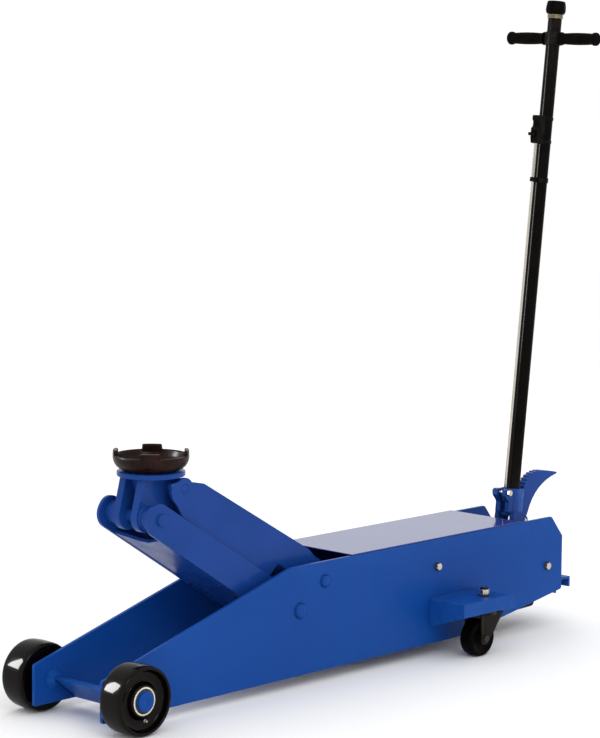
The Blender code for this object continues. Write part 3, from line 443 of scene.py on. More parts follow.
def hexagon(name, across, low, high, centre, direction, material, body, turn):
    """A chamfered hexagon head or nut, with a washer face under it."""
    corner_r = across / math.sqrt(3.0)
    washer_r = across / 2 * 1.03
    top_r = across / 2 * 0.965
    shoulder = high - HEXAGON_CHAMFER
    bm = bmesh.new()
    move = Matrix.Translation(Vector(centre)) @ basis(direction) @ Matrix.Rotation(turn, 4, "Z")
    rows = []
    for part, along in (("foot", low), ("side", low + 0.0002), ("side", shoulder), ("top", high)):
        row = []
        for i in range(HEXAGON_STEPS):
            a = 2 * math.pi * i / HEXAGON_STEPS
            sector = (a % (math.pi / 3)) - math.pi / 6
            radius = across / 2 / math.cos(sector)
            z = along
            if part == "foot":
                radius = min(radius, washer_r)
            elif part == "top":
                radius = top_r
            elif along > (low + high) / 2:
                z = high - HEXAGON_CHAMFER * max(0.15, (radius - top_r) / (corner_r - top_r))
            row.append(bm.verts.new(move @ Vector((radius * math.cos(a), radius * math.sin(a), z))))
        rows.append(row)
    skin(bm, rows)
    return put(name, bm, material, body, smooth=20.0)


def bead(name, points, radius, body, closed=False):
    """A weld bead: rippled, slightly uneven, laid along a path."""
    path = [Vector(p) for p in points]
    if closed:
        path.append(path[0])
    samples = []
    step = BEAD_PITCH / 4
    for a, b in zip(path, path[1:]):
        count = max(1, int((b - a).length / step))
        samples += [a.lerp(b, i / count) for i in range(count)]
    if not closed:
        samples.append(path[-1])
    bm = bmesh.new()
    rows = []
    total = len(samples)
    for i, p in enumerate(samples):
        nxt = samples[(i + 1) % total] if closed else samples[min(i + 1, total - 1)]
        prv = samples[i - 1] if closed or i else samples[0]
        along = (nxt - prv).normalized()
        side = along.orthogonal().normalized() if abs(along.z) > 0.9 else along.cross(Z).normalized()
        up = side.cross(along)
        ripple = 0.80 + 0.20 * (1.0 - (i % 4) / 3.0) + 0.10 * noise.noise(p * 90.0)
        if not closed:
            ripple *= min(1.0, 0.35 + min(i, total - 1 - i) / 5.0)
        rows.append([
            bm.verts.new(p + (side * math.cos(t) + up * math.sin(t)) * radius * ripple)
            for t in [2 * math.pi * k / BEAD_SIDES for k in range(BEAD_SIDES)]
        ])
    skin(bm, rows, closed)
    obj = put(name, bm, WELD_PAINT, body, smooth=70.0)
    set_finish(obj, "blue_paint")


def circle_path(centre, direction, radius, count=40):
    """Points round a circle that faces a direction."""
    turn = Matrix.Translation(Vector(centre)) @ basis(direction)
    angles = [2 * math.pi * i / count for i in range(count)]
    return [turn @ Vector((radius * math.cos(a), radius * math.sin(a), 0)) for a in angles]


def mid(node):
    """The middle of a node's box."""
    low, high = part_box(node)
    return (low + high) / 2


def half_width(node):
    """Half of a node's size along y."""
    low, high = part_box(node)
    return (high.y - low.y) / 2


def half_height(node):
    """Half of a node's size along z."""
    low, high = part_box(node)
    return (high.z - low.z) / 2


# ---------------------------------------------------------------- places taken from the frame
FRONT = mid("front_wheel_left").x
AXLE_Z = mid("front_wheel_left").z
PLATE_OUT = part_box("side_plate_left")[1].y
PLATE_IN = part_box("side_plate_left")[0].y
LOW = Vector(JOINT["lift"]["pos_m"])
UP = Vector(JOINT["link"]["pos_m"])
HEAD = Vector(JOINT["head_level"]["pos_m"])
HEAD_UP = HEAD + (UP - LOW)
SADDLE = Vector(JOINT["saddle_turn"]["pos_m"])
PUMP = Vector(JOINT["handle_pump"]["pos_m"])
STEM = Vector(JOINT["release_twist"]["axis"])
LEAN = math.atan2(-STEM.x, STEM.z)
ON_HANDLE = Matrix.Translation(PUMP) @ Matrix.Rotation(-LEAN, 4, "Y")


def at_handle(x, y, z):
    """A point given in the handle's own axes: z runs up the tube from the pump pivot."""
    return ON_HANDLE @ Vector((x, y, z))


# ---------------------------------------------------------------- chassis
def chassis():
    """Plates, brackets, cover, cross members, shafts and their welds."""
    for side, sign in SIDES:
        dress("side_plate_" + side, bevel=0.0011)
        dress("caster_bracket_" + side, bevel=0.0010)
        low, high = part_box("caster_bracket_" + side)
        y = sign * (PLATE_OUT + 0.0011)
        z = high.z - 0.0012
        bead("bracket_weld_" + side, [(low.x + 0.004, y, z), (high.x - 0.003, y, z)], 0.0026, "chassis")
        wheel_stub(side, sign)
        for spot, radius, name in ((LOW, 0.0172, "lower"), (UP, 0.0142, "upper")):
            ring = circle_path((spot.x, sign * (PLATE_OUT + 0.0004), spot.z), (0, 1, 0), radius)
            bead(f"{name}_shaft_weld_{side}", ring, 0.0015, "chassis", closed=True)
        for which in ("front", "rear"):
            power_bolt(which, side, sign)
        trunnion(side, sign)
    for node in ("front_cross_member", "rear_cross_plate"):
        dress(node, bevel=0.0008)
    dress("top_cover", COVER_PAINT, bevel=0.0009)
    low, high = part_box("front_cross_member")
    rear_low, rear_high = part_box("rear_cross_plate")
    for side, sign in SIDES:
        y = sign * (PLATE_IN - 0.0008)
        line = [(high.x - 0.002, y, high.z - 0.004), (low.x + 0.012, y, low.z + 0.0035)]
        bead("cross_member_weld_" + side, line, 0.0024, "chassis")
        z = rear_high.z - 0.001
        line = [(rear_high.x - 0.002, y, z), (rear_low.x + 0.016, y, z)]
        bead("rear_plate_weld_" + side, line, 0.0022, "chassis")
    shaft("lower_pivot_shaft", LOW, 0.0155)
    shaft("upper_pivot_shaft", UP, 0.0125)


def shaft(node, spot, r):
    """A cross shaft with domed ends."""
    half = half_width(node)
    end = [
        (0.0, -half), (r * 0.42, -half + 0.0002), (r * 0.66, -half + 0.0008),
        (r * 0.86, -half + 0.0021), (r * 0.96, -half + 0.0039), (r, -half + 0.0058),
    ]
    profile = end + [(a, -b) for a, b in reversed(end)]
    obj = lathe(node + "_finish", profile, (spot.x, 0, spot.z), (0, 1, 0), PAINT, "chassis", 64)
    stands_for(obj, node)


def wheel_stub(side, sign):
    """The stub a front wheel runs on, its retaining ring and its weld."""
    node = "stub_axle_" + side
    low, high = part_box(node)
    out = high.y if sign > 0 else -low.y
    r = STUB_R
    profile = [
        (0.0, PLATE_IN + 0.0002), (r, PLATE_IN + 0.0002), (r, PLATE_OUT + 0.0004),
        (0.0255, PLATE_OUT + 0.0004), (0.0260, PLATE_OUT + 0.0010), (0.0260, 0.1149),
        (0.0254, 0.1155), (r, 0.1155), (r, out - 0.0022), (r - 0.0006, out - 0.0009),
        (r - 0.0020, out - 0.0001), (0.0075, out), (0.0050, out - 0.0012), (0.0, out - 0.0026),
    ]
    obj = lathe(node + "_finish", profile, (FRONT, 0, AXLE_Z), (0, sign, 0), PAINT, "chassis", 80)
    stands_for(obj, node)
    ring = [(0.0209, 0.1700), (0.0234, 0.1702), (0.0236, 0.1712), (0.0234, 0.1722), (0.0211, 0.1724)]
    axle = (FRONT, 0, AXLE_Z)
    clip = lathe("retaining_ring_" + side, ring, axle, (0, sign, 0), DARK_STEEL, "chassis", 64)
    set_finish(clip, "black_steel")
    seam = circle_path((FRONT, sign * (PLATE_OUT + 0.0008), AXLE_Z), (0, 1, 0), 0.0272)
    bead("stub_weld_" + side, seam, 0.0019, "chassis", closed=True)


def power_bolt(which, side, sign):
    """A bolt that holds the power unit: shank, hexagon head, and a near-black washer that is painted
    shadow for the dark gap round the head.
    """
    node = f"{which}_power_bolt_{side}"
    c = mid(node)
    face = (c.x, sign * (PLATE_OUT + 0.0003), c.z)
    facing = (0, sign, 0)
    # The near-black washer stands in for the shadow in the gap round the bolt head: painted shadow.
    washer = [
        (0.0062, 0.0), (0.0093, 0.0), (0.0098, 0.0004), (0.0098, 0.0014), (0.0094, 0.0018),
        (0.0062, 0.0018),
    ]
    lathe(f"{which}_power_washer_{side}", washer, face, facing, DARK_STEEL, "chassis", 56)
    name = f"{which}_power_head_{side}"
    head = hexagon(name, 0.0147, 0.0018, 0.0078, face, facing, ZINC, "chassis", 0.3)
    shank = [(0.0, 0.0), (0.0060, 0.0008), (0.0060, 0.0320), (0.0, 0.0320)]
    start = (c.x, sign * (PLATE_OUT - 0.0300), c.z)
    body = lathe(f"{which}_power_shank_{side}", shank, start, facing, ZINC, "chassis", 32)
    stands_for(head, node)
    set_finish(body, "plated_steel")


def trunnion(side, sign):
    """A trunnion bolt with a domed head outside the plate."""
    node = "trunnion_bolt_" + side
    c = mid(node)
    profile = [
        (0.0, 0.0175), (0.0072, 0.0175), (0.0080, 0.0183), (0.0080, 0.0460), (0.0126, 0.0460),
        (0.0130, 0.0465), (0.0130, 0.0500), (0.0124, 0.0512), (0.0105, 0.0520), (0.0060, 0.0524),
        (0.0045, 0.0510), (0.0, 0.0508),
    ]
    obj = lathe(node + "_finish", profile, (c.x, 0, c.z), (0, sign, 0), ZINC, "chassis", 56)
    stands_for(obj, node)


# ---------------------------------------------------------------- front wheels
def front_wheel(side, sign):
    """A dished wheel, its bearing's seal, a near-black race that is painted shade in the gap inside the
    seal, and a grease nipple.
    """
    node = "front_wheel_" + side
    body = BODY_OF[node]
    c = mid(node)
    half = half_width(node)
    r = half_height(node)
    edge = [
        (0.0290, 0.0045), (0.0345, 0.0012), (0.0620, 0.0), (0.0658, 0.0004), (0.0682, 0.0014),
        (0.0697, 0.0034), (0.0706, 0.0070), (0.0711, 0.0140), (0.0714, 0.0220),
    ]
    profile = [(a, -half + b) for a, b in edge] + [(r, 0.0)]
    outer = [
        (0.0714, 0.0220), (0.0711, 0.0140), (0.0706, 0.0070), (0.0697, 0.0034), (0.0684, 0.0014),
        (0.0666, 0.0003), (0.0650, 0.0), (0.0636, 0.0006), (0.0626, 0.0022), (0.0618, 0.0050),
        (0.0604, 0.0105), (0.0590, 0.0138), (0.0560, 0.0162), (0.0510, 0.0176), (0.0430, 0.0180),
        (0.0392, 0.0176), (0.0370, 0.0158), (0.0352, 0.0120), (0.0338, 0.0078), (0.0326, 0.0058),
        (0.0314, 0.0048), (0.0292, 0.0046),
    ]
    profile += [(a, half - b) for a, b in outer]
    wheel = lathe(node + "_finish", profile, c, (0, sign, 0), WHEEL_BLACK, body, 128, smooth=50.0)
    stands_for(wheel, node)
    seal = [
        (0.0252, half - 0.0090), (0.0252, half - 0.0052), (0.0256, half - 0.0044),
        (0.0278, half - 0.0044), (0.0286, half - 0.0050), (0.0289, half - 0.0070),
        (0.0289, -half + 0.0070), (0.0252, -half + 0.0070),
    ]
    ring = lathe("wheel_seal_" + side, seal, c, (0, sign, 0), CREAM, body, 96)
    stands_for(ring, "wheel_bearing_" + side)
    # The near-black race fills the gap between stub and seal with painted shade.
    race = [
        (0.0211, half - 0.0140), (0.0211, half - 0.0100), (0.0251, half - 0.0100),
        (0.0251, half - 0.0140),
    ]
    dark = lathe("wheel_race_" + side, race, c, (0, sign, 0), DARK_STEEL, body, 80)
    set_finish(dark, "black_steel")
    fitting = [
        (0.0, 0.0), (0.0034, 0.0), (0.0034, 0.0018), (0.0022, 0.0024), (0.0020, 0.0046),
        (0.0026, 0.0056), (0.0018, 0.0070), (0.0, 0.0072),
    ]
    spot = c + Vector((-0.012, sign * (half - 0.0178), -0.0435))
    nipple = lathe("grease_nipple_" + side, fitting, spot, (0, sign, 0), ZINC, body, 24)
    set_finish(nipple, "plated_steel")


# ---------------------------------------------------------------- casters
def caster(side, sign):
    """A swivelling caster: tyre, fork, axle bolt, and the kingbolt through its shelf."""
    hub = Vector(JOINT[f"caster_{side}_spin"]["pos_m"])
    wheel_node = "caster_wheel_" + side
    half = half_width(wheel_node)
    r = half_height(wheel_node)
    edge = [
        (0.0056, 0.0), (0.0128, 0.0), (0.0138, 0.0008), (0.0150, 0.0034), (0.0190, 0.0046),
        (0.0280, 0.0042), (0.0315, 0.0022), (0.0345, 0.0008), (0.0380, 0.0014), (0.0402, 0.0034),
        (0.0412, 0.0066),
    ]
    profile = [(a, -half + b) for a, b in edge] + [(r, 0.0)]
    profile += [(a, half - b) for a, b in reversed(edge)]
    name = wheel_node + "_finish"
    wheel = lathe(name, profile, hub, (0, 1, 0), CASTER_BLACK, BODY_OF[wheel_node], 96, smooth=45.0)
    stands_for(wheel, wheel_node)
    dress("caster_fork_" + side, bevel=0.0011)
    fork_body = "caster_fork_" + side
    out = half_width("caster_axle_bolt_" + side)
    shank = [
        (0.0, -out + 0.0005), (0.0046, -out + 0.0005), (0.0050, -out + 0.0012), (0.0050, out - 0.004),
        (0.0, out - 0.004),
    ]
    pin = lathe("caster_axle_shank_" + side, shank, hub, (0, sign, 0), DARK_STEEL, fork_body, 32)
    stands_for(pin, "caster_axle_bolt_" + side)
    face = half + 0.0067
    for facing, part in ((sign, "head"), (-sign, "nut")):
        spot = (hub.x, hub.y + facing * face, hub.z)
        name = f"caster_axle_{part}_{side}"
        h = hexagon(name, 0.0145, 0.0, 0.0046, spot, (0, facing, 0), DARK_STEEL, fork_body, 0.2)
        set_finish(h, "black_steel")
    kingbolt(side)


def kingbolt(side):
    """The bolt a caster swivels on: washer, lock nut and insert above the shelf, head below."""
    stem = Vector(JOINT[f"caster_{side}_swivel"]["pos_m"])
    shelf = (stem.x, stem.y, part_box("caster_bracket_" + side)[1].z)
    washer = [
        (0.0062, 0.0003), (0.0119, 0.0003), (0.0125, 0.0010), (0.0125, 0.0034), (0.0118, 0.0042),
        (0.0062, 0.0042),
    ]
    w = lathe("kingbolt_washer_" + side, washer, shelf, Z, DARK_STEEL, "chassis", 56)
    stands_for(w, "caster_kingbolt_" + side)
    nut = hexagon("kingbolt_nut_" + side, 0.0210, 0.0043, 0.0150, shelf, Z, ZINC, "chassis", 0.5)
    ring = [
        (0.0048, 0.0146), (0.0092, 0.0146), (0.0095, 0.0158), (0.0092, 0.0176), (0.0078, 0.0184),
        (0.0058, 0.0180),
    ]
    insert = lathe("kingbolt_insert_" + side, ring, shelf, Z, NYLON, "chassis", 48)
    thread = [(0.0, -0.0400), (0.0058, -0.0400), (0.0058, 0.0130)]
    thread += [(0.0058 - 0.0006 * (k % 2), 0.0130 + 0.0006 * k) for k in range(1, 10)]
    thread += [(0.0046, 0.0192), (0.0, 0.0194)]
    bolt = lathe("kingbolt_" + side, thread, shelf, Z, DARK_STEEL, "chassis", 40)
    cap = [(0.0, 0.0842), (0.0088, 0.0842), (0.0095, 0.0850), (0.0095, 0.0890), (0.0, 0.0890)]
    under = lathe("kingbolt_head_" + side, cap, (stem.x, stem.y, 0), Z, ZINC, "chassis", 40)
    for obj in (nut, insert, bolt, under):
        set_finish(obj, "plated_steel")


# ---------------------------------------------------------------- linkage
def linkage():
    """The two arms, the pins at the head, the head and the saddle."""
    dress("lift_arm", ARM_PAINT, bevel=0.0013, segments=3)
    dress("link_arm", ARM_PAINT, bevel=0.0013, segments=3)
    for node, r in (("lower_head_pin", LOWER_PIN_R), ("upper_head_pin", UPPER_PIN_R)):
        half = half_width(node)
        end = [
            (0.0, -half), (r * 0.40, -half), (r * 0.46, -half + 0.0006), (r * 0.80, -half + 0.0001),
            (r * 0.93, -half + 0.0006), (r, -half + 0.0019),
        ]
        profile = end + [(a, -b) for a, b in reversed(end)]
        pin = lathe(node + "_finish", profile, mid(node), (0, 1, 0), ARM_PAINT, BODY_OF[node], 64)
        stands_for(pin, node)
    head()
    saddle()


def head():
    """The saddle's head: plate, cheeks, bosses for the two pins, web and socket."""
    body = "saddle_head"
    top = SADDLE.z - 0.0003
    plate = [
        (SADDLE_BORE_R, -0.0100), (0.0685, -0.0100), (0.0696, -0.0094), (0.0700, -0.0084),
        (0.0700, -0.0016), (0.0695, -0.0005), (0.0684, 0.0), (SADDLE_BORE_R, 0.0),
    ]
    obj = lathe("saddle_head_finish", plate, (SADDLE.x, 0, top), Z, ARM_PAINT, body, 128)
    stands_for(obj, "saddle_head")
    offset = UP - LOW
    cheek = hull([
        (0.0, 0.0, 0.031), (offset.x, offset.z, 0.022), (-0.086, 0.079, 0.002), (0.0095, 0.079, 0.002),
    ])
    place = Matrix.Translation(HEAD)
    bosses = ((HEAD, 0.024, 0.0131, 0.0665, "lower"), (HEAD_UP, 0.019, 0.0106, 0.0561, "upper"))
    for side, s in SIDES:
        slab("head_cheek_" + side, cheek, s * 0.0170, s * 0.0350, ARM_PAINT, body, 0.0016, place)
        for spot, r, hole, reach, which in bosses:
            boss = [
                (hole, 0.0345), (r + 0.0020, 0.0345), (r, 0.0370), (r, reach - 0.0015),
                (r - 0.0015, reach), (hole, reach),
            ]
            name = f"{which}_head_boss_{side}"
            lathe(name, boss, (spot.x, 0, spot.z), (0, s, 0), ARM_PAINT, body, 72)
    panel = [
        (-0.072, 0.081), (-0.066, 0.050), (-0.040, 0.018), (-0.030, 0.0235), (-0.012, 0.050),
        (-0.003, 0.081),
    ]
    slab("head_panel", panel, -0.0190, 0.0190, ARM_PAINT, body, 0.0010, place)
    neck = [
        (SADDLE_BORE_R, -0.0440), (0.0200, -0.0440), (0.0215, -0.0425), (0.0215, -0.0125),
        (0.0240, -0.0095), (SADDLE_BORE_R, -0.0095),
    ]
    lathe("saddle_socket", neck, (SADDLE.x, 0, top), Z, ARM_PAINT, body, 72)
    z = top - 0.0112
    for side, s in SIDES:
        y = s * 0.0362
        bead("cheek_weld_" + side, [(HEAD.x - 0.082, y, z), (HEAD.x + 0.006, y, z)], 0.0024, body)
    for obj in [o for o in bpy.data.objects if o.get("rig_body") == body and "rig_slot" not in o]:
        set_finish(obj, "blue_paint")


def saddle():
    """The saddle: a dish on its stem, with four lugs round the rim."""
    body = "saddle"
    profile = [
        (0.0, -0.0420), (0.0118, -0.0420), (0.0130, -0.0408), (0.0130, 0.0), (0.0490, 0.0),
        (0.0520, 0.0004), (0.0600, 0.0024), (0.0660, 0.0058), (0.0710, 0.0100), (0.0742, 0.0146),
        (0.0764, 0.0196), (0.0776, 0.0242), (0.0780, 0.0285), (0.0779, 0.0312), (0.0772, 0.0324),
        (0.0758, 0.0327), (0.0742, 0.0325), (0.0730, 0.0318), (0.0718, 0.0290), (0.0702, 0.0240),
        (0.0684, 0.0198), (0.0655, 0.0154), (0.0615, 0.0120), (0.0550, 0.0104), (0.0400, 0.0097),
        (0.0240, 0.0091), (0.0, 0.0090),
    ]
    obj = lathe("saddle_finish", profile, SADDLE, Z, CAST, body, 128, smooth=55.0)
    stands_for(obj, "saddle")
    for quarter in range(4):
        bm = bmesh.new()
        rows = []
        for z, r_in, r_out, swing in (
            (0.0160, 0.0700, 0.0732, 16.6), (0.0250, 0.0712, 0.0779, 16.4),
            (0.0330, 0.0700, 0.0779, 16.0), (0.0396, 0.0696, 0.0777, 15.6),
            (0.0422, 0.0702, 0.0770, 15.0), (0.0431, 0.0716, 0.0757, 14.0),
        ):
            outer = arc(0.0, 0.0, r_out, -swing, swing, 12)
            inner = arc(0.0, 0.0, r_in, swing, -swing, 12)
            rows.append([(x, y, z) for x, y in outer + inner])
        turn = Matrix.Rotation(math.radians(45 + 90 * quarter), 4, "Z")
        prism_mesh(bm, rows, Matrix.Translation(SADDLE) @ turn)
        lug = put(f"saddle_lug_{quarter + 1}", bm, CAST, body, bevel=0.0007)
        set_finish(lug, "dark_cast_iron")


# ---------------------------------------------------------------- power unit
def power_unit():
    """The hydraulics under the cover."""
    for node, material in (("cylinder", STEEL), ("gland_nut", STEEL), ("oil_tank", TANK_PAINT)):
        dress(node, material, bevel=0.0012)
    dress("tank_support", TANK_PAINT, bevel=0.0012)
    dress("pump_block", CAST, bevel=0.0016)
    dress("ram", CHROME, bevel=0.0008)
    for node in ("ram_cross_pin", "pump_plunger", "release_valve"):
        dress(node, bevel=0.0006)


# ---------------------------------------------------------------- handle
def handle():
    """The handle's tube, collar and T-bar, and what sits on them."""
    body = "handle"
    top = TUBE_TOP
    tube = [
        (0.0130, 0.0450), (0.0155, 0.0450), (TUBE_R, 0.0455), (TUBE_R, 0.30), (TUBE_R, 0.60),
        (TUBE_R, 0.90), (TUBE_R, top - 0.0006), (0.0154, top), (0.0130, top),
    ]
    stands_for(lathe("handle_tube_finish", tube, PUMP, STEM, TUBE_BLACK, body, 72), "handle_tube")
    ring = [(0.0057, top + 0.0003)]
    for k in range(3):
        base = top + 0.0003 + 0.0034 * k
        ring += [
            (0.0172, base), (0.0185, base + 0.0007), (0.0185, base + 0.0022), (0.0172, base + 0.0029),
        ]
    ring += [(0.0057, top + 0.0101)]
    stands_for(lathe("handle_collar_finish", ring, PUMP, STEM, BRASS, body, 72), "handle_collar")
    bar = at_handle(0, 0, T_BAR_Z)
    hub = [
        (TUBE_FIT_R, -0.0150), (0.0182, -0.0150), (0.0190, -0.0140), (0.0190, 0.0140),
        (0.0182, 0.0150), (TUBE_FIT_R, 0.0150),
    ]
    stands_for(lathe("t_bar_hub", hub, bar, STEM, TUBE_BLACK, body, 72), "t_bar")
    rod = [
        (0.0, 0.0165), (0.0122, 0.0165), (0.0110, 0.0195), (0.0095, 0.0210), (0.0095, 0.1205),
        (0.0088, 0.1215), (0.0, 0.1215),
    ]
    for side, sign in SIDES:
        piece = lathe("t_bar_arm_" + side, rod, bar, (0, sign, 0), TUBE_BLACK, body, 48)
        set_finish(piece, "black_paint")
        grip(side, sign, bar)
    knob()
    lock()
    socket()


def grip(side, sign, bar):
    """A ribbed rubber grip over one arm of the T-bar."""
    profile = [
        (0.0, 0.0222), (0.0140, 0.0222), (0.0152, 0.0228), (0.0155, 0.0242), (0.0153, 0.0262),
        (0.0142, 0.0280), (0.0128, 0.0298),
    ]
    ribs, start, end = 26, 0.0306, 0.1140
    pitch = (end - start) / ribs
    for i in range(ribs):
        along = start + (end - start) * i / ribs
        swell = 0.0127 + 0.0014 * math.sin(math.pi * (along - start) / (end - start))
        groove = swell - 0.0004
        profile += [
            (groove, along), (swell, along + pitch * 0.22), (swell, along + pitch * 0.62),
            (groove, along + pitch * 0.80),
        ]
    profile += [
        (0.0127, 0.1148), (0.0138, 0.1172), (0.0151, 0.1202), (0.0154, 0.1238), (0.0151, 0.1264),
        (0.0137, 0.1281), (0.0100, 0.1287), (0.0, 0.1288),
    ]
    node = "grip_" + side
    obj = lathe(node + "_finish", profile, bar, (0, sign, 0), RUBBER, "handle", 72, smooth=40.0)
    stands_for(obj, node)


def knob():
    """The fluted release knob on top of the tube, and the rod that turns with it."""
    low, high = KNOB_LOW, KNOB_HIGH
    profile = [
        (0.0, low + 0.0002), (0.0180, low + 0.0002), (0.0195, low + 0.0006), (0.0212, low + 0.0020),
        (0.0224, low + 0.0045), (0.0231, low + 0.0080), (0.0232, low + 0.0120),
        (0.0229, low + 0.0165), (0.0224, low + 0.0205), (0.0216, low + 0.0250),
        (0.0209, high - 0.0022), (0.0200, high - 0.0007), (0.0180, high), (0.0120, high - 0.0002),
        (0.0, high - 0.0006),
    ]
    bm = bmesh.new()
    spin_mesh(bm, profile, PUMP, STEM, 144)
    inverse = ON_HANDLE.inverted()
    for v in bm.verts:
        p = inverse @ v.co
        r = math.hypot(p.x, p.y)
        if r > 0.0185 and low + 0.003 < p.z < high - 0.001:
            flute = 0.5 + 0.5 * math.cos(12 * math.atan2(p.y, p.x))
            cut = 1.0 - 0.035 * (1.0 - flute) ** 2
            v.co = ON_HANDLE @ Vector((p.x * cut, p.y * cut, p.z))
    obj = put("release_knob_finish", bm, PLASTIC, "release_knob", smooth=40.0)
    stands_for(obj, "release_knob")
    rod = [
        (0.0, 0.0122), (0.0044, 0.0122), (0.0050, 0.0130), (0.0050, low + 0.012), (0.0, low + 0.012),
    ]
    stands_for(lathe("release_rod_finish", rod, PUMP, STEM, ZINC, "release_knob", 32), "release_rod")


def lock():
    """The handle's lock: housing, button, long rod, its guide, spring and straps."""
    dress("lock_housing", PLASTIC, bevel=0.0009)
    dress("lock_button", PLASTIC, bevel=0.0010)
    rod = [
        (0.0, 0.0551), (0.0016, 0.0551), (0.0022, 0.0560), (0.0022, 0.30), (0.0022, 0.60),
        (0.0022, 0.9556), (0.0, 0.9559),
    ]
    foot = at_handle(LOCK_ROD_X, 0, 0)
    stands_for(lathe("lock_rod_finish", rod, foot, STEM, CHROME, "lock_rod", 32), "lock_rod")
    dress("rod_guide", PLASTIC, bevel=0.0007)
    spring()
    for name, z in (("low", 0.9120), ("high", 0.9650)):
        strap = [
            (TUBE_FIT_R, z - 0.0035), (0.0168, z - 0.0035), (0.0172, z - 0.0030),
            (0.0172, z + 0.0030), (0.0168, z + 0.0035), (TUBE_FIT_R, z + 0.0035),
        ]
        band = lathe("housing_strap_" + name, strap, PUMP, STEM, PLASTIC, "handle", 56)
        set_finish(band, "black_paint")


def spring():
    """The coil spring round the lock's rod."""
    bm = bmesh.new()
    turns, wire, coil = 15, 0.0005, 0.0038
    rise = SPRING_HIGH - SPRING_LOW - 2 * wire
    count = turns * 22
    rows = []
    for i in range(count + 1):
        t = i / count
        angle = 2 * math.pi * turns * t
        radial = Vector((math.cos(angle), math.sin(angle), 0))
        centre = Vector((LOCK_ROD_X, 0, SPRING_LOW + wire + rise * t)) + radial * coil
        rows.append([
            bm.verts.new(ON_HANDLE @ (centre + (radial * math.cos(a) + Z * math.sin(a)) * wire))
            for a in [2 * math.pi * k / WIRE_SIDES for k in range(WIRE_SIDES)]
        ])
    skin(bm, rows)
    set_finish(put("lock_spring", bm, STEEL, "handle", smooth=80.0), "plated_steel")


def socket():
    """The socket that clamps the tube, the foot pedal and the clamp bolt."""
    dress("handle_socket", ARM_PAINT, bevel=0.0016, segments=3)
    dress("foot_pedal", ARM_PAINT, bevel=0.0010)
    dress("pedal_pin", ZINC, bevel=0.0005)
    spot = at_handle(0.038, 0, 0.094)
    shank = [(0.0, -0.0270), (0.0036, -0.0270), (0.0040, -0.0264), (0.0040, 0.0230), (0.0, 0.0230)]
    stands_for(lathe("clamp_bolt_shank", shank, spot, (0, 1, 0), ZINC, "handle", 32), "clamp_bolt")
    for part, end, facing, turn in (("head", 0.0261, 1, 0.2), ("nut", 0.0258, -1, 0.4)):
        name = "clamp_bolt_" + part
        obj = hexagon(name, 0.0130, 0.0202, end, spot, (0, facing, 0), ZINC, "handle", turn)
        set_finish(obj, "plated_steel")


# ---------------------------------------------------------------- stage, light, camera
def stage():
    """A pale floor just under the wheels and a plain white world."""
    bm = bmesh.new()
    size = 40.0
    corners = [(-size, -size), (size, -size), (size, size), (-size, size)]
    bm.faces.new([bm.verts.new((x, y, -0.0002)) for x, y in corners])
    mesh = bpy.data.meshes.new("floor")
    bm.to_mesh(mesh)
    bm.free()
    g = Graph("pale_floor")
    g.set("Base Color", g.mix(g.noise(1.5, 2.0), rgb((0.97, 0.97, 0.97)), rgb((1.0, 1.0, 1.0))))
    g.set("Roughness", 0.85)
    g.set("Specular IOR Level", 0.1)
    mesh.materials.append(g.material)
    floor = bpy.data.objects.new("floor", mesh)
    bpy.context.scene.collection.objects.link(floor)
    sky = bpy.data.worlds.new("studio")
    sky.use_nodes = True
    sky.node_tree.nodes["Background"].inputs["Color"].default_value = (1.0, 1.0, 1.0, 1.0)
    sky.node_tree.nodes["Background"].inputs["Strength"].default_value = 1.02
    bpy.context.scene.world = sky


def softbox(name, place, target, size, power, diffuse=True):
    """A rectangular lamp aimed at a target; one that isn't diffuse only shows as a reflection."""
    lamp = bpy.data.lights.new(name, "AREA")
    lamp.shape = "RECTANGLE"
    lamp.size, lamp.size_y = size
    lamp.energy = power
    obj = bpy.data.objects.new(name, lamp)
    obj.location = place
    obj.visible_diffuse = diffuse
    aim = Vector(target) - Vector(place)
    obj.rotation_euler = aim.to_track_quat("-Z", "Y").to_euler()
    bpy.context.scene.collection.objects.link(obj)
    return obj


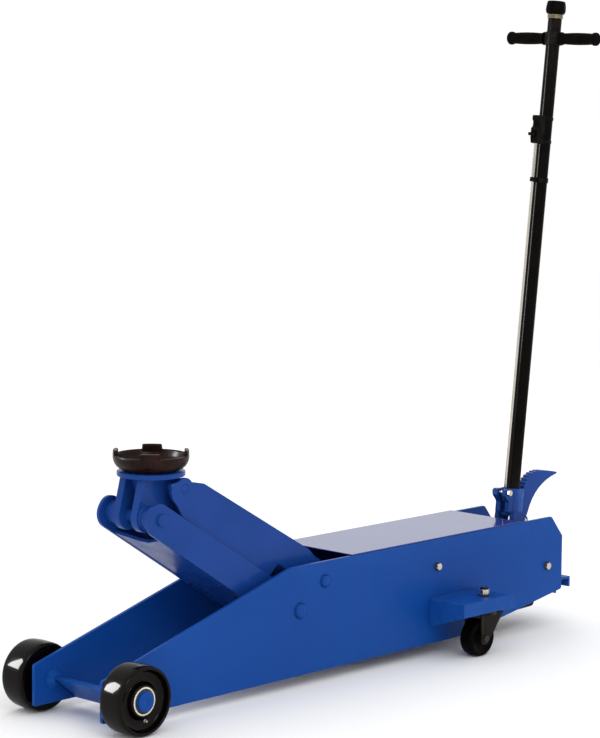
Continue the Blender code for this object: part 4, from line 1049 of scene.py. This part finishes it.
def shiny_pieces():
    """The pieces that mirror the studio window: wheels, tube, saddle and plated bolts."""
    group = bpy.data.collections.new("mirrors_window")
    shiny = {m.name for m in (WHEEL_BLACK, TUBE_BLACK, CAST, ZINC, CREAM)}
    for obj in bpy.context.scene.objects:
        if obj.type == "MESH" and shiny & {m.name for m in obj.data.materials if m}:
            group.objects.link(obj)
    return group


def lights():
    """A key light, a studio window that only shows in the shiny pieces, and a back light."""
    softbox("key", (1.8, 3.4, 3.2), (0.1, 0.0, 0.2), (1.6, 1.2), 30.0)
    place = (FRONT + 1.72, -2.05, 1.42)
    window = softbox("window", place, (FRONT, 0.0, 0.1), (0.75, 1.2), 170.0, diffuse=False)
    window.light_linking.receiver_collection = shiny_pieces()
    softbox("back", (-2.8, -2.6, 2.6), (-0.3, 0.0, 0.3), (1.6, 1.6), 16.0)


def camera():
    """A camera at the height, distance and angle the jack was seen from."""
    focal_px, width_px, height_px, sensor = 2807.1, 600.0, 738.0, 36.0
    pitch, yaw, roll = math.radians(7.177), math.radians(43.691), math.radians(0.407)
    level = math.cos(pitch)
    forward = Vector((-math.cos(yaw) * level, -math.sin(yaw) * level, -math.sin(pitch)))
    right = forward.cross(Z).normalized()
    above = right.cross(forward)
    x_axis = right * math.cos(roll) + above * math.sin(roll)
    y_axis = above * math.cos(roll) - right * math.sin(roll)
    lens = bpy.data.cameras.new("camera")
    lens.sensor_width = sensor
    lens.sensor_fit = "AUTO"
    lens.lens = focal_px * sensor / max(width_px, height_px)
    lens.clip_start, lens.clip_end = 0.05, 200.0
    obj = bpy.data.objects.new("camera", lens)
    turn = Matrix((x_axis, y_axis, -forward)).transposed()
    obj.matrix_world = Matrix.Translation((FRONT + 3.6804, 4.1035, 1.4075)) @ turn.to_4x4()
    bpy.context.scene.collection.objects.link(obj)
    bpy.context.scene.camera = obj


chassis()
for side, sign in SIDES:
    front_wheel(side, sign)
    caster(side, sign)
linkage()
power_unit()
handle()
stage()
lights()
camera()
bpy.context.scene.view_settings.view_transform = "Standard"

for obj in bpy.data.objects:
    if obj.get("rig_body") and "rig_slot" not in obj and obj.type == "MESH" and obj.name not in NODES:
        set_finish(obj, SPARE_SLOTS.get(obj.data.materials[0], "blue_paint"))

bpy.context.view_layer.update()
